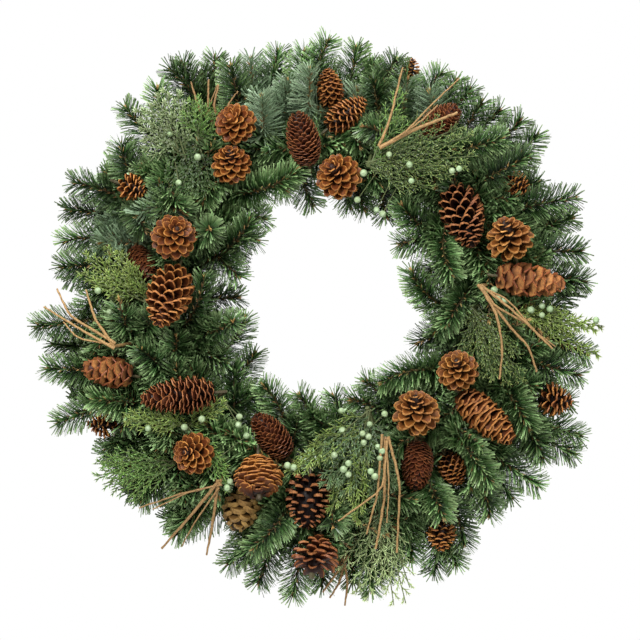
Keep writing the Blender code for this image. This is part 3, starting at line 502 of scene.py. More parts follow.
def growingFinish(name, root, middle, end, dark, frost=None, turn=0.5, spread=0.5, grain=900.0,
                  grainAmount=0.3, bump=0.3, roughness=(0.5, 0.65), shine=0.5, hueSpread=0.03):
    # one finish: colours from root to end, grain over them, and the shader's own fixed values
    material = bpy.data.materials.new(name)
    material.use_nodes = True
    tree = material.node_tree
    shader = tree.nodes["Principled BSDF"]
    growth = addNode(tree, "ShaderNodeAttribute", {"attribute_name": "growth"})
    parts = addNode(tree, "ShaderNodeSeparateColor", (), {"Color": growth.outputs["Color"]}).outputs
    tint = useGroup(tree, tintGroup, {
        "Along": parts[0], "Own": parts[1], "Bunch": parts[2], "Root": (*root, 1), "Middle": (*middle, 1),
        "End": (*end, 1), "Frost": (*(frost or middle), 1), "Turn": turn, "Spread": spread,
        "Hue Spread": hueSpread})
    fine = useGroup(tree, grainGroup, {"Colour": tint["Colour"], "Dark": (*dark, 1), "Scale": grain,
                                       "Amount": grainAmount})
    tree.links.new(fine["Colour"], shader.inputs["Base Color"])
    shader.inputs["Specular IOR Level"].default_value = shine
    rough = ramp(tree, fine["Height"], 0.3, 0.7, *roughness)
    tree.links.new(rough, shader.inputs["Roughness"])
    bumps = addNode(tree, "ShaderNodeBump", (), {"Strength": bump, "Distance": 0.5 * mm, "Height": fine["Height"]})
    tree.links.new(bumps.outputs["Normal"], shader.inputs["Normal"])
    return material


tintGroup, grainGroup = makeTintGroup(), makeGrainGroup()

pineFinishes = [
    # pine needles: the dark root colour is painted shade deep in each brush; the pale end colour and the wide spread
    # of lightness from needle to needle also paint highlights along the needles, over their own varied green
    growingFinish("pineNeedle", (0.014, 0.036, 0.010), (0.075, 0.163, 0.042), (0.28, 0.41, 0.17),
                  (0.016, 0.056, 0.022), frost=(0.18, 0.25, 0.15), turn=0.45, spread=1.7, grain=260.0,
                  grainAmount=0.3, bump=0.1, roughness=(0.3, 0.44), shine=0.55),
    growingFinish("wrappedStem", (0.07, 0.055, 0.022), (0.15, 0.105, 0.040), (0.28, 0.19, 0.07),
                  (0.05, 0.03, 0.015), spread=0.8, grain=1100.0, grainAmount=0.5, roughness=(0.6, 0.8)),
    growingFinish("budScale", (0.22, 0.12, 0.035), (0.44, 0.27, 0.09), (0.52, 0.36, 0.14),
                  (0.14, 0.08, 0.03), spread=1.2, grain=1500.0, roughness=(0.5, 0.7)),
    growingFinish("boundStem", (0.055, 0.06, 0.025), (0.09, 0.08, 0.035), (0.12, 0.10, 0.04),
                  (0.02, 0.03, 0.015), spread=0.5, grain=500.0, grainAmount=0.6, roughness=(0.55, 0.75)),
]


def coneFinish(name, root, middle, rim, dark, turn=0.9, shine=0.25):
    return growingFinish(name, root, middle, rim, dark, turn=turn, spread=0.85, grain=420.0, grainAmount=0.6,
                         bump=0.5, roughness=(0.36, 0.6), shine=shine, hueSpread=0.012)


# cone finishes: the near-black root colour, blended in up to the turn near each scale's lip, is painted shade on the
# scales' feet and faces and deep between them; the rim colours are the scales' own
coneFinishes = {
    "orange": coneFinish("coneOrange", (0.006, 0.002, 0.001), (0.18, 0.050, 0.009), (0.60, 0.25, 0.065),
                         (0.07, 0.018, 0.005)),
    "shaded": coneFinish("coneShaded", (0.005, 0.002, 0.001), (0.11, 0.029, 0.006), (0.48, 0.19, 0.052),
                         (0.04, 0.012, 0.004)),
    "redBrown": coneFinish("coneRedBrown", (0.010, 0.002, 0.001), (0.092, 0.024, 0.0085), (0.38, 0.135, 0.045),
                           (0.04, 0.010, 0.004)),
    "tan": coneFinish("coneTan", (0.006, 0.002, 0.001), (0.20, 0.066, 0.012), (0.64, 0.29, 0.085),
                      (0.08, 0.026, 0.007)),
    "russet": coneFinish("coneRusset", (0.008, 0.002, 0.001), (0.072, 0.018, 0.006), (0.27, 0.088, 0.030),
                         (0.025, 0.007, 0.004), turn=0.84),
    "dark": coneFinish("coneDark", (0.004, 0.001, 0.001), (0.022, 0.007, 0.004), (0.34, 0.13, 0.05),
                       (0.012, 0.004, 0.003), turn=0.92, shine=0.12),
    "ochre": coneFinish("coneOchre", (0.02, 0.010, 0.004), (0.15, 0.080, 0.020), (0.36, 0.21, 0.065),
                        (0.06, 0.028, 0.008)),
    "papery": coneFinish("conePapery", (0.035, 0.006, 0.003), (0.48, 0.205, 0.068), (0.30, 0.080, 0.026),
                         (0.10, 0.045, 0.025)),
}
pickFinish = growingFinish("pickWire", (0.06, 0.04, 0.015), (0.07, 0.055, 0.02), (0.07, 0.06, 0.02),
                           (0.02, 0.012, 0.008), roughness=(0.5, 0.7))


def leafFinish(name, root, middle, end):
    return growingFinish(name, root, middle, end, tuple(0.35 * c for c in root), turn=0.5, spread=1.5,
                         grain=700.0, grainAmount=0.3, bump=0.2, roughness=(0.42, 0.6))


leafFinishes = {
    "sage": leafFinish("leafSage", (0.11, 0.155, 0.055), (0.34, 0.42, 0.19), (0.60, 0.68, 0.38)),
    "green": leafFinish("leafGreen", (0.08, 0.16, 0.03), (0.24, 0.38, 0.085), (0.45, 0.59, 0.19)),
    "cypress": leafFinish("leafCypress", (0.05, 0.085, 0.018), (0.27, 0.35, 0.09), (0.62, 0.70, 0.28)),
    "juniper": leafFinish("leafJuniper", (0.11, 0.165, 0.03), (0.31, 0.41, 0.09), (0.60, 0.67, 0.25)),
    "greyGreen": leafFinish("leafGreyGreen", (0.055, 0.10, 0.035), (0.16, 0.235, 0.10), (0.33, 0.42, 0.19)),
    "light": leafFinish("leafLight", (0.27, 0.35, 0.14), (0.56, 0.66, 0.31), (0.82, 0.89, 0.56)),
    "deep": leafFinish("leafDeep", (0.04, 0.075, 0.02), (0.085, 0.14, 0.035), (0.18, 0.26, 0.07)),
}
leafStemFinish = growingFinish("leafStem", (0.07, 0.06, 0.025), (0.09, 0.11, 0.035), (0.13, 0.19, 0.05),
                               (0.05, 0.04, 0.015), grain=1200.0, roughness=(0.55, 0.7))
berryFinish = growingFinish("berrySkin", (0.25, 0.35, 0.165), (0.33, 0.45, 0.225), (0.13, 0.18, 0.07),
                            (0.48, 0.60, 0.40), turn=0.93, spread=0.25, grain=300.0, grainAmount=0.6, bump=0.05,
                            roughness=(0.38, 0.55))
barkFinishes = [
    growingFinish("twigBark", (0.18, 0.10, 0.035), (0.38, 0.225, 0.085), (0.50, 0.32, 0.14),
                  (0.08, 0.038, 0.012), spread=0.5, grain=600.0, grainAmount=0.6, bump=0.6, roughness=(0.6, 0.8),
                  hueSpread=0.008),
    growingFinish("cutWood", (0.62, 0.42, 0.22), (0.66, 0.47, 0.26), (0.7, 0.5, 0.3), (0.45, 0.28, 0.12),
                  grain=1500.0, roughness=(0.7, 0.85)),
]
frameFinish = growingFinish("framePaint", (0.014, 0.035, 0.016), (0.018, 0.045, 0.02), (0.02, 0.05, 0.022),
                            (0.06, 0.05, 0.035), grain=180.0, grainAmount=0.25, bump=0.15, roughness=(0.32, 0.5))
print("Finishes made")

# Shapes that repeat

needle = modelNeedle(27 * mm, 1.15 * mm, 1.05 * mm, 0.35 * mm)
budBit = modelPoint(5.4 * mm, 1.6 * mm, flat=0.7)
leafBit = modelPoint(4.4 * mm, 1.0 * mm, flat=0.8)
scaleShapes = {
    "woody": modelScale(narrow=0.45, thick=0.10, curl=0.12, lip=0.09, inset=0.13, cup=0.18),
    "cupped": modelScale(narrow=0.5, thick=0.10, curl=0.10, lip=0.08, inset=0.12, cup=0.34),
    "thin": modelScale(sides=6, narrow=0.6, thick=0.06, hollow=0.02, curl=-0.03, lip=0.02, inset=0.13),
    "plate": modelScale(sides=6, narrow=0.6, thick=0.06, hollow=-0.03, curl=0.08, lip=0.0, inset=0.1),
    "papery": modelScale(narrow=0.5, thick=0.05, hollow=0.02, curl=0.16, lip=0.02, inset=0.11, cup=0.22),
    "knob": modelScale(narrow=0.7, thick=0.2, hollow=-0.04, curl=0.04, lip=0.14, inset=0.16),
}
coneCore, berryShape = modelCore(), modelBerry()
print("Shapes modelled")

# Cones

coneKinds = {
    "rosette": {"scales": 62, "outline": (0.80, 0.62), "core": 0.22, "wide": 0.235, "lean": (114, 40),
                "shape": "woody", "wild": 0.11, "hold": 1.3},
    "open": {"scales": 54, "outline": (0.72, 0.60), "core": 0.20, "wide": 0.24, "lean": (122, 44),
             "shape": "woody", "wild": 0.16, "hold": 1.3},
    "long": {"scales": 84, "outline": (0.76, 0.50), "core": 0.26, "wide": 0.25, "lean": (108, 36),
             "shape": "cupped", "wild": 0.09, "hold": 2.2},
    "studded": {"scales": 72, "outline": (0.76, 0.50), "core": 0.46, "wide": 0.165, "lean": (98, 44),
                "shape": "knob", "wild": 0.08, "hold": 2.0},
    "ragged": {"scales": 110, "outline": (0.78, 0.46), "core": 0.30, "wide": 0.31, "lean": (92, 34),
               "shape": "papery", "wild": 0.22, "hold": 1.4},
    "layered": {"scales": 56, "outline": (0.72, 0.42), "core": 0.26, "wide": 0.60, "lean": (80, 40),
                "shape": "papery", "wild": 0.14, "hold": 1.4},
    "spruce": {"scales": 190, "outline": (0.86, 0.42), "core": 0.55, "wide": 0.25, "lean": (66, 16),
               "shape": "thin", "wild": 0.10, "hold": 0.85},
    "flat": {"scales": 44, "outline": (0.78, 0.44), "core": 0.40, "wide": 0.56, "lean": (60, 34),
             "shape": "plate", "wild": 0.10, "hold": 0.85},
    "blocky": {"scales": 36, "outline": (0.86, 0.55), "core": 0.45, "wide": 0.42, "lean": (80, 24),
               "shape": "knob", "wild": 0.06, "hold": 0.85},
}
coneLooks = {11: "ragged", 14: "ragged", 17: "studded", 22: "layered"}  # cones whose scales look unlike their kind's
coneTints = {3: "russet", 5: "shaded", 6: "shaded", 8: "shaded", 10: "papery", 11: "redBrown", 15: "ochre",
             16: "russet", 17: "dark", 18: "redBrown", 19: "tan", 20: "tan", 21: "russet", 22: "shaded", 23: "shaded",
             24: "papery", 25: "tan", 26: "dark", 27: "russet", 31: "shaded", 32: "russet"}
goldenTurn = math.radians(137.508)
pickWire = {"radius": 1.6 * mm, "leg": 9 * mm}


def coneFacts(entry):
    x, y, depth, turn, lift, length, width, kind = entry
    turn, lift = math.radians(turn), math.radians(lift)
    axis = np.array([math.cos(turn) * math.cos(lift), -math.sin(lift), math.sin(turn) * math.cos(lift)])
    return {"base": at((x, y, depth)) - axis * length * mm / 2, "axis": axis, "length": length * mm,
            "width": width * mm, "kind": kind}


def outlineAt(cone, t):
    first, second = coneKinds[cone["kind"]]["outline"]
    return cone["width"] / 2 * np.sin(np.pi * np.clip(t, 0, 1) ** first) ** second


def growCone(number, cone):
    kind = coneKinds[coneLooks.get(number, cone["kind"])]
    base, axis, length, width = cone["base"], cone["axis"], cone["length"], cone["width"]
    side = sideOf(axis)
    up = np.cross(axis, side)
    count = max(24, round(kind["scales"] * (0.55 + 0.45 * min(1, length / (50 * mm)))))
    k = np.arange(count)
    t = 0.03 + 0.95 * (k + 0.5) / count
    angle = goldenTurn * k + number + draw.normal(0, kind["wild"] * 0.5, count)
    out = np.cos(angle)[:, None] * side + np.sin(angle)[:, None] * up
    lean = np.radians(kind["lean"][0] + (kind["lean"][1] - kind["lean"][0]) * t ** kind["hold"])
    lean = lean + draw.normal(0, kind["wild"], count)
    way = np.cos(lean)[:, None] * axis + np.sin(lean)[:, None] * out
    radius = outlineAt(cone, t)
    reach = np.maximum(radius * (1 - kind["core"]) / np.maximum(np.sin(lean), 0.35), 0.17 * width)
    root = base + axis * (length * t)[:, None] + out * radius[:, None] - way * reach[:, None]
    wide = kind["wide"] * width * (0.34 + 0.66 * radius / radius.max()) * draw.uniform(0.86, 1.12, count)
    across = np.cross(axis, out)
    face = np.cross(way, across)
    turns = np.stack([way * reach[:, None], across * wide[:, None], face * wide[:, None]], 2)
    pile = newPile()
    pileUp(pile, scaleShapes[kind["shape"]], turns, root, 0, np.stack([draw.random(count), 0.15 + 0.55 * t], 1))
    thick = width * (kind["core"] + 0.12)
    frameOfCore = np.stack([side * thick, up * thick, axis * length * 0.92], 1)[None]
    pileUp(pile, coneCore, frameOfCore, (base + axis * length * 0.03)[None], 0)
    backwards = cone["axis"][1] > 0
    heel = base + axis * length if backwards else base
    away = axis if backwards else -axis
    angleHere = ringAngle(heel)
    seat = onRing(branchStem["radius"], angleHere, branchStem["depth"] + branchStem["strand"] * 2)
    knee = seat + np.array([0.0, -pickWire["leg"], 0.0])
    wire = bow(seat, knee, heel + away * pickWire["leg"], 5)
    wire = np.concatenate([wire, [heel - away * 4 * mm]])
    paths = [(wire, [pickWire["radius"]] * len(wire))]
    if backwards:
        stub = [base - axis * 3 * mm, base + axis * 6 * mm]
        paths.append((stub, [3 * mm, 3.4 * mm]))
    rods(pile, paths, 6, 1)
    node = f"cone_{number:02d}_{cone['kind']}"
    tint = coneTints.get(number, "orange")
    makePiece(node + "_scales", pile, [coneFinishes[tint], pickFinish], "cone_scales", node)


cones = [coneFacts(entry) for entry in coneList]
for number, cone in enumerate(cones, 1):
    growCone(number, cone)
print("Cones grown:", len(cones))

# Room in front of what shows

shown = {"centres": [], "radii": []}  # balls that pine needles don't pass in front of
halfHidden = (9, 12, 23, 28, 29, 30, 32)  # cones that needles cover in part


def keepShown(centres, radius):
    shown["centres"].append(np.atleast_2d(centres))
    shown["radii"].append(np.full(len(np.atleast_2d(centres)), radius))


for number, cone in enumerate(cones, 1):
    for t in (0.1, 0.3, 0.5, 0.7, 0.9):
        part = 0.3 if number in halfHidden else 0.9
        keepShown(cone["base"] + cone["axis"] * cone["length"] * t, outlineAt(cone, t) * part)


def insideCones(points):
    inside = np.zeros(len(points), bool)
    for cone in cones:
        rel = points - cone["base"]
        t = rel @ cone["axis"] / cone["length"]
        apart = np.linalg.norm(rel - np.outer(t * cone["length"], cone["axis"]), axis=1)
        inside |= (t > 0) & (t < 1) & (apart < outlineAt(cone, t) + 0.5 * mm)
    return inside


def hidesShown(points, centres, radii):
    flat = points[:, None, (0, 2)] - centres[None][:, :, (0, 2)]
    near = (flat ** 2).sum(2) < radii ** 2
    return (near & (points[:, None, 1] < centres[None, :, 1])).any(1)


# Cedar and juniper sprays

frondForms = {
    "fan": {"spacing": 7.6 * mm, "length": 27 * mm, "angle": 44, "twigs": 4, "share": 0.44, "fat": 1.4,
            "bare": 0.12},
    "sprig": {"spacing": 8.2 * mm, "length": 19 * mm, "angle": 46, "twigs": 4, "share": 0.46, "fat": 1.5,
              "bare": 0.2},
    "lace": {"spacing": 10.5 * mm, "length": 24 * mm, "angle": 42, "twigs": 3, "share": 0.42, "fat": 1.2,
             "bare": 0.2},
    "thread": {"spacing": 9.2 * mm, "length": 30 * mm, "angle": 28, "twigs": 3, "share": 0.36, "fat": 1.25,
               "bare": 0.03},
    "juniper": {"spacing": 5.6 * mm, "length": 18 * mm, "angle": 42, "twigs": 3, "share": 0.45, "fat": 1.45,
                "bare": 0.12},
}
sprayLooks = {
    "cedar_upper_left_sage": ("sprig", "sage"), "cedar_upper_left_green": ("fan", "green"),
    "cedar_upper_right": ("thread", "cypress"), "juniper_left": ("juniper", "juniper"),
    "cedar_lower_left": ("thread", "green"), "juniper_lower_left": ("juniper", "juniper"),
    "cedar_lower_middle": ("fan", "greyGreen"), "cedar_bottom_rim": ("lace", "light"),
    "cedar_right": ("thread", "cypress"), "juniper_right": ("juniper", "juniper"),
}
# fronds that end in these boxes on the grid take another colour: low x and y, high x and y
sprayAccents = {
    "cedar_upper_left_green": ([(160, 170, 230, 210)], "deep"),
    "cedar_upper_right": ([(385, 80, 412, 125)], "green"),
    "cedar_lower_middle": ([(280, 430, 326, 480), (325, 496, 360, 560)], "juniper"),
    "juniper_lower_left": ([(220, 450, 240, 495)], "green"),
}
moreFronds = {
    "cedar_upper_left_sage": [(156, 96, 74), (178, 92, 78), (138, 110, 62)],
    "cedar_upper_left_green": [(203, 104, 74), (190, 116, 84), (216, 124, 70), (182, 192, 88), (199, 196, 90),
                               (170, 182, 84), (212, 188, 86)],
    "cedar_upper_right": [(400, 92, 72), (438, 118, 92), (470, 138, 100), (462, 168, 102), (430, 190, 98),
                          (400, 120, 92)],
    "juniper_left": [(78, 272, 58), (118, 252, 66), (130, 264, 70), (108, 274, 70)],
    "cedar_lower_left": [(94, 464, 56), (122, 470, 66), (104, 484, 62), (132, 494, 62), (120, 456, 66),
                         (148, 482, 74)],
    "juniper_lower_left": [(168, 414, 94), (212, 408, 88), (128, 420, 92), (228, 470, 92), (230, 488, 90)],
    "cedar_lower_middle": [(384, 470, 100), (286, 474, 108), (324, 482, 108), (344, 494, 106), (364, 456, 112),
                           (328, 450, 102), (390, 488, 100), (330, 512, 100), (356, 520, 98), (384, 532, 96)],
    "cedar_bottom_rim": [(340, 572, 50), (368, 602, 46), (394, 606, 46), (410, 588, 50)],
    "cedar_right": [(472, 340, 80), (478, 376, 88), (506, 382, 88), (512, 352, 80), (486, 350, 92),
                    (500, 344, 90)],
    "juniper_right": [(596, 330, 66), (548, 322, 68), (584, 326, 62), (530, 318, 72), (564, 316, 60),
                      (600, 356, 56)],
}
berries = {
    "size": 7.5 * mm, "stalk": 0.5 * mm,
    "places": {
        "cedar_upper_left_sage": [(180, 184, 94), (171, 135, 84)],
        "cedar_upper_left_green": [(199, 159, 98)],
        "cedar_upper_right": [(388, 157, 114), (408, 167, 113), (410, 183, 112), (450, 173, 112),
                              (457, 171, 110), (363, 175, 106), (357, 201, 94), (376, 211, 92), (382, 215, 92)],
        "juniper_left": [(99, 291, 76), (110, 312, 74)],
        "juniper_lower_left": [(150, 427, 98), (186, 426, 100), (203, 418, 96), (240, 416, 86),
                               (239, 424, 88), (247, 435, 84), (228, 486, 94), (231, 480, 94)],
        "cedar_lower_middle": [(288, 463, 114), (294, 465, 114), (341, 410, 90), (342, 429, 96),
                               (362, 432, 106), (368, 435, 108), (363, 441, 108), (369, 423, 100),
                               (384, 413, 94), (377, 445, 110), (381, 449, 112), (379, 456, 112),
                               (334, 453, 110), (348, 461, 114), (343, 467, 114), (348, 472, 114),
                               (370, 469, 114), (374, 474, 114)],
        "juniper_right": [(503, 301, 80), (497, 298, 82), (493, 290, 84), (530, 310, 76), (541, 306, 76),
                          (549, 309, 74), (541, 315, 74), (595, 320, 72)],
    },
}
sprayHub = {"radius": 4.2 * mm, "gap": 2.2 * mm}


def leafString(path, spacing, fat, found, shade):
    # overlapping scale leaves along a thin shoot, all of one shade
    count = max(2, round(pathLength(path) / spacing))
    points, ways = alongPath(path, np.linspace(0, pathLength(path) - 1.5 * mm, count))
    width = sideOf(ways[0])
    other = np.cross(ways[0], width)
    angle = math.pi / 3 * np.arange(count)
    widths = np.cos(angle)[:, None] * width + np.sin(angle)[:, None] * other
    taper = np.linspace(1.0, 0.72, count)[:, None, None] * fat
    found["turns"].append(standing(ways, widths) * taper)
    found["places"].append(points)
    found["draws"].append(np.full((count, 1), min(0.85, max(0, shade + draw.normal(0, 0.12)))))


def growFrond(path, form, found, stems):
    # a frond in one plane: shoots leave its axis by turns to both sides, and fork again
    facing = np.array([draw.normal(0, 0.25), -1.0, draw.normal(0, 0.25)])
    total = pathLength(path)
    spacing = 2.3 * mm
    leafString(path[len(path) // 4:], spacing, form["fat"] * 1.1, found, 0.5)
    stems.append((path, np.linspace(0.85, 0.5, len(path)) * mm))
    starts = np.arange(total * form["bare"], total * 0.97, form["spacing"])
    points, ways = alongPath(path, starts)
    for k, (start, way) in enumerate(zip(points, ways)):
        u = starts[k] / total
        hand = 1 if k % 2 else -1
        side = unit(np.cross(facing, way)) * hand
        reach = form["length"] * (0.62 + 0.38 * math.sin(math.pi * u)) * (1.15 - 0.8 * u ** 2)
        reach *= draw.uniform(0.8, 1.1)
        angle = math.radians(form["angle"] + draw.normal(0, 5))
        heading = math.cos(angle) * way + math.sin(angle) * side
        tilt = np.array([0.0, -1.0, 0.0]) * draw.normal(0.1, 0.18)
        middle = start + (heading + tilt) * reach * 0.5
        end = start + unit(heading + 0.45 * way + tilt) * reach
        shoot = bow(start, middle, end, 7)
        shade = 0.1 + 0.65 * u
        leafString(shoot, spacing, form["fat"], found, shade)
        for j in range(form["twigs"]):
            share = 0.3 + 0.5 * j / max(1, form["twigs"] - 1)
            spot, spotWay = alongPath(shoot, np.array([share * pathLength(shoot)]))
            lateral = unit(np.cross(facing, spotWay[0])) * (1 if (j + k) % 2 else -1)
            small = reach * form["share"] * (1.1 - 0.5 * share)
            tip = spot[0] + unit(spotWay[0] + 0.75 * lateral + tilt * 0.5) * small
            twig = bow(spot[0], (spot[0] + tip) / 2, tip, 4)
            leafString(twig, spacing, form["fat"] * 0.85, found, shade + 0.15)


def growSpray(name):
    meeting, places = sprayList[name]
    form, colour = frondForms[sprayLooks[name][0]], leafFinishes[sprayLooks[name][1]]
    hub = at(meeting)
    pile = newPile()
    found = {"turns": [], "places": [], "draws": []}
    stems, axes, accents = [], [], []
    boxes, accentName = sprayAccents.get(name, ([], "deep"))
    for place in places + moreFronds.get(name, []):
        end = at(place)
        middle = (hub + end) / 2 + np.array([0.0, -draw.uniform(2, 10) * mm, 0.0])
        root = hub + draw.normal(0, 1, 3) * sprayHub["gap"]
        path = bow(root, middle, end, 13)
        axes.append(path)
        before = sum(map(len, found["places"]))
        growFrond(path, form, found, stems)
        inBox = any(x0 <= place[0] <= x1 and y0 <= place[1] <= y1 for x0, y0, x1, y1 in boxes)
        accents += [inBox] * (sum(map(len, found["places"])) - before)
    turns, spots = np.concatenate(found["turns"]), np.concatenate(found["places"])
    draws = np.hstack([draw.random((len(spots), 1)), np.concatenate(found["draws"])])
    accents = np.array(accents)
    for chosen, finish in ((~accents, 0), (accents, 3)):
        pileUp(pile, leafBit, turns[chosen], spots[chosen], finish, draws[chosen])
    seat = onRing(branchStem["radius"], ringAngle(hub), branchStem["depth"] + branchStem["strand"] * 2)
    knee = seat + np.array([0.0, -pickWire["leg"], 0.0])
    wire = np.concatenate([bow(seat, knee, hub, 6), [hub + (hub - knee) * 0.05]])
    stems.append((wire, np.linspace(1.7, 2.4, len(wire)) * mm))
    near = np.concatenate([axis[3:] for axis in axes])
    balls = berries["places"].get(name, [])
    for place in balls:
        centre = at(place)
        start = near[np.argmin(np.linalg.norm(near - centre, axis=1))]
        stalk = bow(start, (start + centre) / 2 + np.array([0, 2 * mm, 0]), centre, 5)
        stems.append((stalk, [berries["stalk"]] * 5))
    rods(pile, stems, 6, 1)
    if balls:
        centres = np.array([at(place) for place in balls])
        ways = unit(np.array([0.0, -1.0, 0.0]) + draw.normal(0, 0.5, (len(balls), 3)))
        size = berries["size"] * draw.uniform(0.86, 1.06, len(balls))[:, None, None]
        pileUp(pile, berryShape, standing(ways, draw.normal(0, 1, (len(balls), 3))) * size, centres, 2)
        keepShown(centres, berries["size"] * 0.6)
    keepShown(spots[::3], 3.2 * mm)
    finishes = [colour, leafStemFinish, berryFinish, leafFinishes[accentName]]
    makePiece(name + "_leaves", pile, finishes, "cedar_leaf", name)
    return len(spots)


leaves = sum(growSpray(name) for name in sprayList)
print("Sprays grown, with scale leaves:", leaves)

# Twigs

twigBundle = {"radii": (1.55 * mm, 0.95 * mm), "bumps": 0.10, "wander": 0.6 * mm, "points": 22}
twigSizes = {"twigs_upper_right": (1.4, 0.75, 1.0), "twigs_lower_left": (0.75, 1.25, 1.15),
             "twigs_upper_left": (0.9, 0.9, 0.9, 0.8), "twigs_lower_middle": (0.85, 0.9, 1.15, 1.0)}
moreTwigs = {
    "twigs_upper_left": [((206, 116, 70), (218, 85, 68))],
    "twigs_upper_right": [((420, 124, 112), (436, 108, 108))],
    "twigs_left": [((80, 338, 100), (66, 322, 92))],
    "twigs_right": [((506, 300, 110), (530, 330, 110), (552, 346, 104))],
    "twigs_lower_left": [((190, 490, 96), (154, 508, 84)), ((196, 520, 84), (182, 546, 70))],
    "twigs_lower_middle": [((388, 480, 114), (386, 520, 104))],
    "twigs_bottom": [((336, 576, 40), (326, 588, 36))],
}


def growTwigs(name):
    meeting, twigs = twigList[name]
    root = at(meeting)
    pile = newPile()
    paths, ends = [], []
    for k, knots in enumerate(twigs + [list(more) for more in moreTwigs.get(name, [])]):
        sizes = twigSizes.get(name, (1.0,) * len(twigs))
        thin = sizes[k] if k < len(twigs) else 0.65
        corner = [root + draw.normal(0, 1.6, 3) * mm] + [at(knot) for knot in knots]
        steps = np.linspace(0, len(corner) - 1, twigBundle["points"])
        path = np.stack([np.interp(steps, range(len(corner)), [c[i] for c in corner]) for i in range(3)], 1)
        for _ in range(3):
            path[1:-1] = (path[:-2] + path[1:-1] + path[2:]) / 3
        path[1:-1] += draw.normal(0, 1, (len(path) - 2, 3)) * twigBundle["wander"] * 0.3
        radii = np.linspace(*twigBundle["radii"], len(path)) * thin
        radii *= 1 + twigBundle["bumps"] * draw.normal(0, 1, len(path)).clip(-1, 1.6)
        paths.append((path, radii))
        ends.append((path[-1], unit(path[-1] - path[-2]), radii[-1]))
        keepShown(path[2:], 2.6 * mm)
    rods(pile, paths, 8, 0)
    cuts = [([end - way * 0.2 * mm, end + way * 0.25 * mm], [radius * 0.86] * 2) for end, way, radius in ends]
    rods(pile, cuts, 8, 1)
    seat = onRing(branchStem["radius"], ringAngle(root), branchStem["depth"] + branchStem["strand"] * 2)
    knee = seat + np.array([0.0, -pickWire["leg"], 0.0])
    rods(pile, [(bow(seat, knee, root, 6), [1.7 * mm] * 6)], 6, 0)
    makePiece(name + "_bark", pile, barkFinishes, "twig_bark", name)


for name in twigList:
    growTwigs(name)
print("Twigs made:", len(twigList))

# Pine tips

pineTips = {"bare": 0.12, "slant": (64, 48), "reach": (0.88, 1.06), "stem": (1.4 * mm, 0.8 * mm),
            "perMillimetre": 5.0, "fillPerMillimetre": 3.3, "flatten": 0.72, "back": 0.4 * mm, "bits": 4.6 * mm,
            "blunt": 0.36, "broad": 1.3, "turned": 55}
depthShifts = (0, 8, -8, 16, -16, 24, -24, -34, -46)
openGaps = [(222, 548, 22), (580, 308, 20), (70, 296, 18), (204, 54, 14), (268, 590, 12), (540, 120, 12),
            (126, 118, 12)]  # x, y, radius: notches in the rim that no fill tip ends in
frostedPlaces = [(255, 78, 24), (305, 92, 34), (336, 84, 22), (118, 228, 28), (420, 92, 18)]  # x, y, radius
moreTips = [
    (512, 166, 538, 134, 32, 26), (190, 504, 176, 522, 30, 24), (148, 458, 116, 472, 30, 24),
    (505, 484, 512, 498, 32, 26), (350, 80, 357, 46, 34, 28), (398, 134, 364, 129, 86, 96),
    (404, 496, 408, 538, 52, 50), (442, 236, 400, 244, 58, 62), (252, 100, 250, 58, 34, 28),
    (374, 98, 372, 62, 36, 30), (218, 254, 238, 276, 62, 66), (232, 238, 256, 240, 60, 64),
    (236, 222, 264, 218, 50, 54), (252, 538, 247, 562, 46, 38), (436, 524, 452, 556, 40, 34),
    (540, 438, 574, 454, 50, 44), (162, 482, 140, 502, 40, 34), (130, 190, 106, 172, 36, 30),
    (354, 190, 364, 208, 44, 48), (374, 562, 372, 592, 34, 28), (206, 92, 200, 72, 36, 30),
    (362, 498, 354, 545, 46, 44), (424, 268, 418, 292, 36, 40), (344, 184, 350, 205, 30, 34),
    (276, 186, 286, 190, 50, 54), (148, 432, 116, 434, 30, 26), (142, 420, 108, 410, 24, 20),
    (520, 216, 560, 222, 24, 20), (128, 152, 142, 190, 72, 80), (384, 392, 366, 382, 50, 54),
    (300, 78, 304, 50, 40, 36), (446, 104, 456, 80, 42, 36), (452, 540, 458, 566, 44, 38),
    (190, 88, 182, 62, 40, 34),
    (150, 198, 186, 214, 84, 92), (404, 98, 408, 66, 48, 46),
]
# Layers of tips between the listed ones: how many, radii on the grid at start and end, depths there,
# how far they swing round the ring, and the centre that they stand round.
fillLayers = [
    {"tips": 64, "radii": (206, 256), "depths": (16, 12), "swing": 12, "centre": (319, 318)},
    {"tips": 54, "radii": (196, 238), "depths": (36, 32), "swing": 16, "centre": (319, 318)},
    {"tips": 46, "radii": (186, 226), "depths": (58, 60), "swing": 24, "centre": (319, 316)},
    {"tips": 36, "radii": (172, 204), "depths": (72, 78), "swing": 40, "centre": (321, 312)},
    {"tips": 34, "radii": (184, 160), "depths": (66, 76), "swing": 40, "centre": (323, 306)},
    {"tips": 34, "radii": (158, 124), "depths": (18, 20), "swing": 16, "centre": (326, 297)},
    {"tips": 32, "radii": (152, 122), "depths": (46, 52), "swing": 20, "centre": (326, 297)},
]


def near(tip, spots):
    return any(math.hypot(tip[2] - x, tip[3] - y) < reach for x, y, reach in spots)


def fillTips():
    tips = []
    for layer in fillLayers:
        count = layer["tips"]
        for k in range(count):
            angle = 2 * math.pi * (k + draw.uniform(-0.3, 0.3)) / count
            swing = math.radians(layer["swing"]) * draw.uniform(-1, 1)
            spots = []
            for radius, turn in zip(layer["radii"], (angle, angle + swing)):
                radius = radius + draw.uniform(-6, 6)
                spots += [layer["centre"][0] + radius * math.cos(turn), layer["centre"][1] - radius * math.sin(turn)]
            lift = draw.uniform(-5, 5)
            tips.append((*spots, layer["depths"][0] + lift, layer["depths"][1] + lift))
    return [tip for tip in tips if not near(tip, openGaps)]


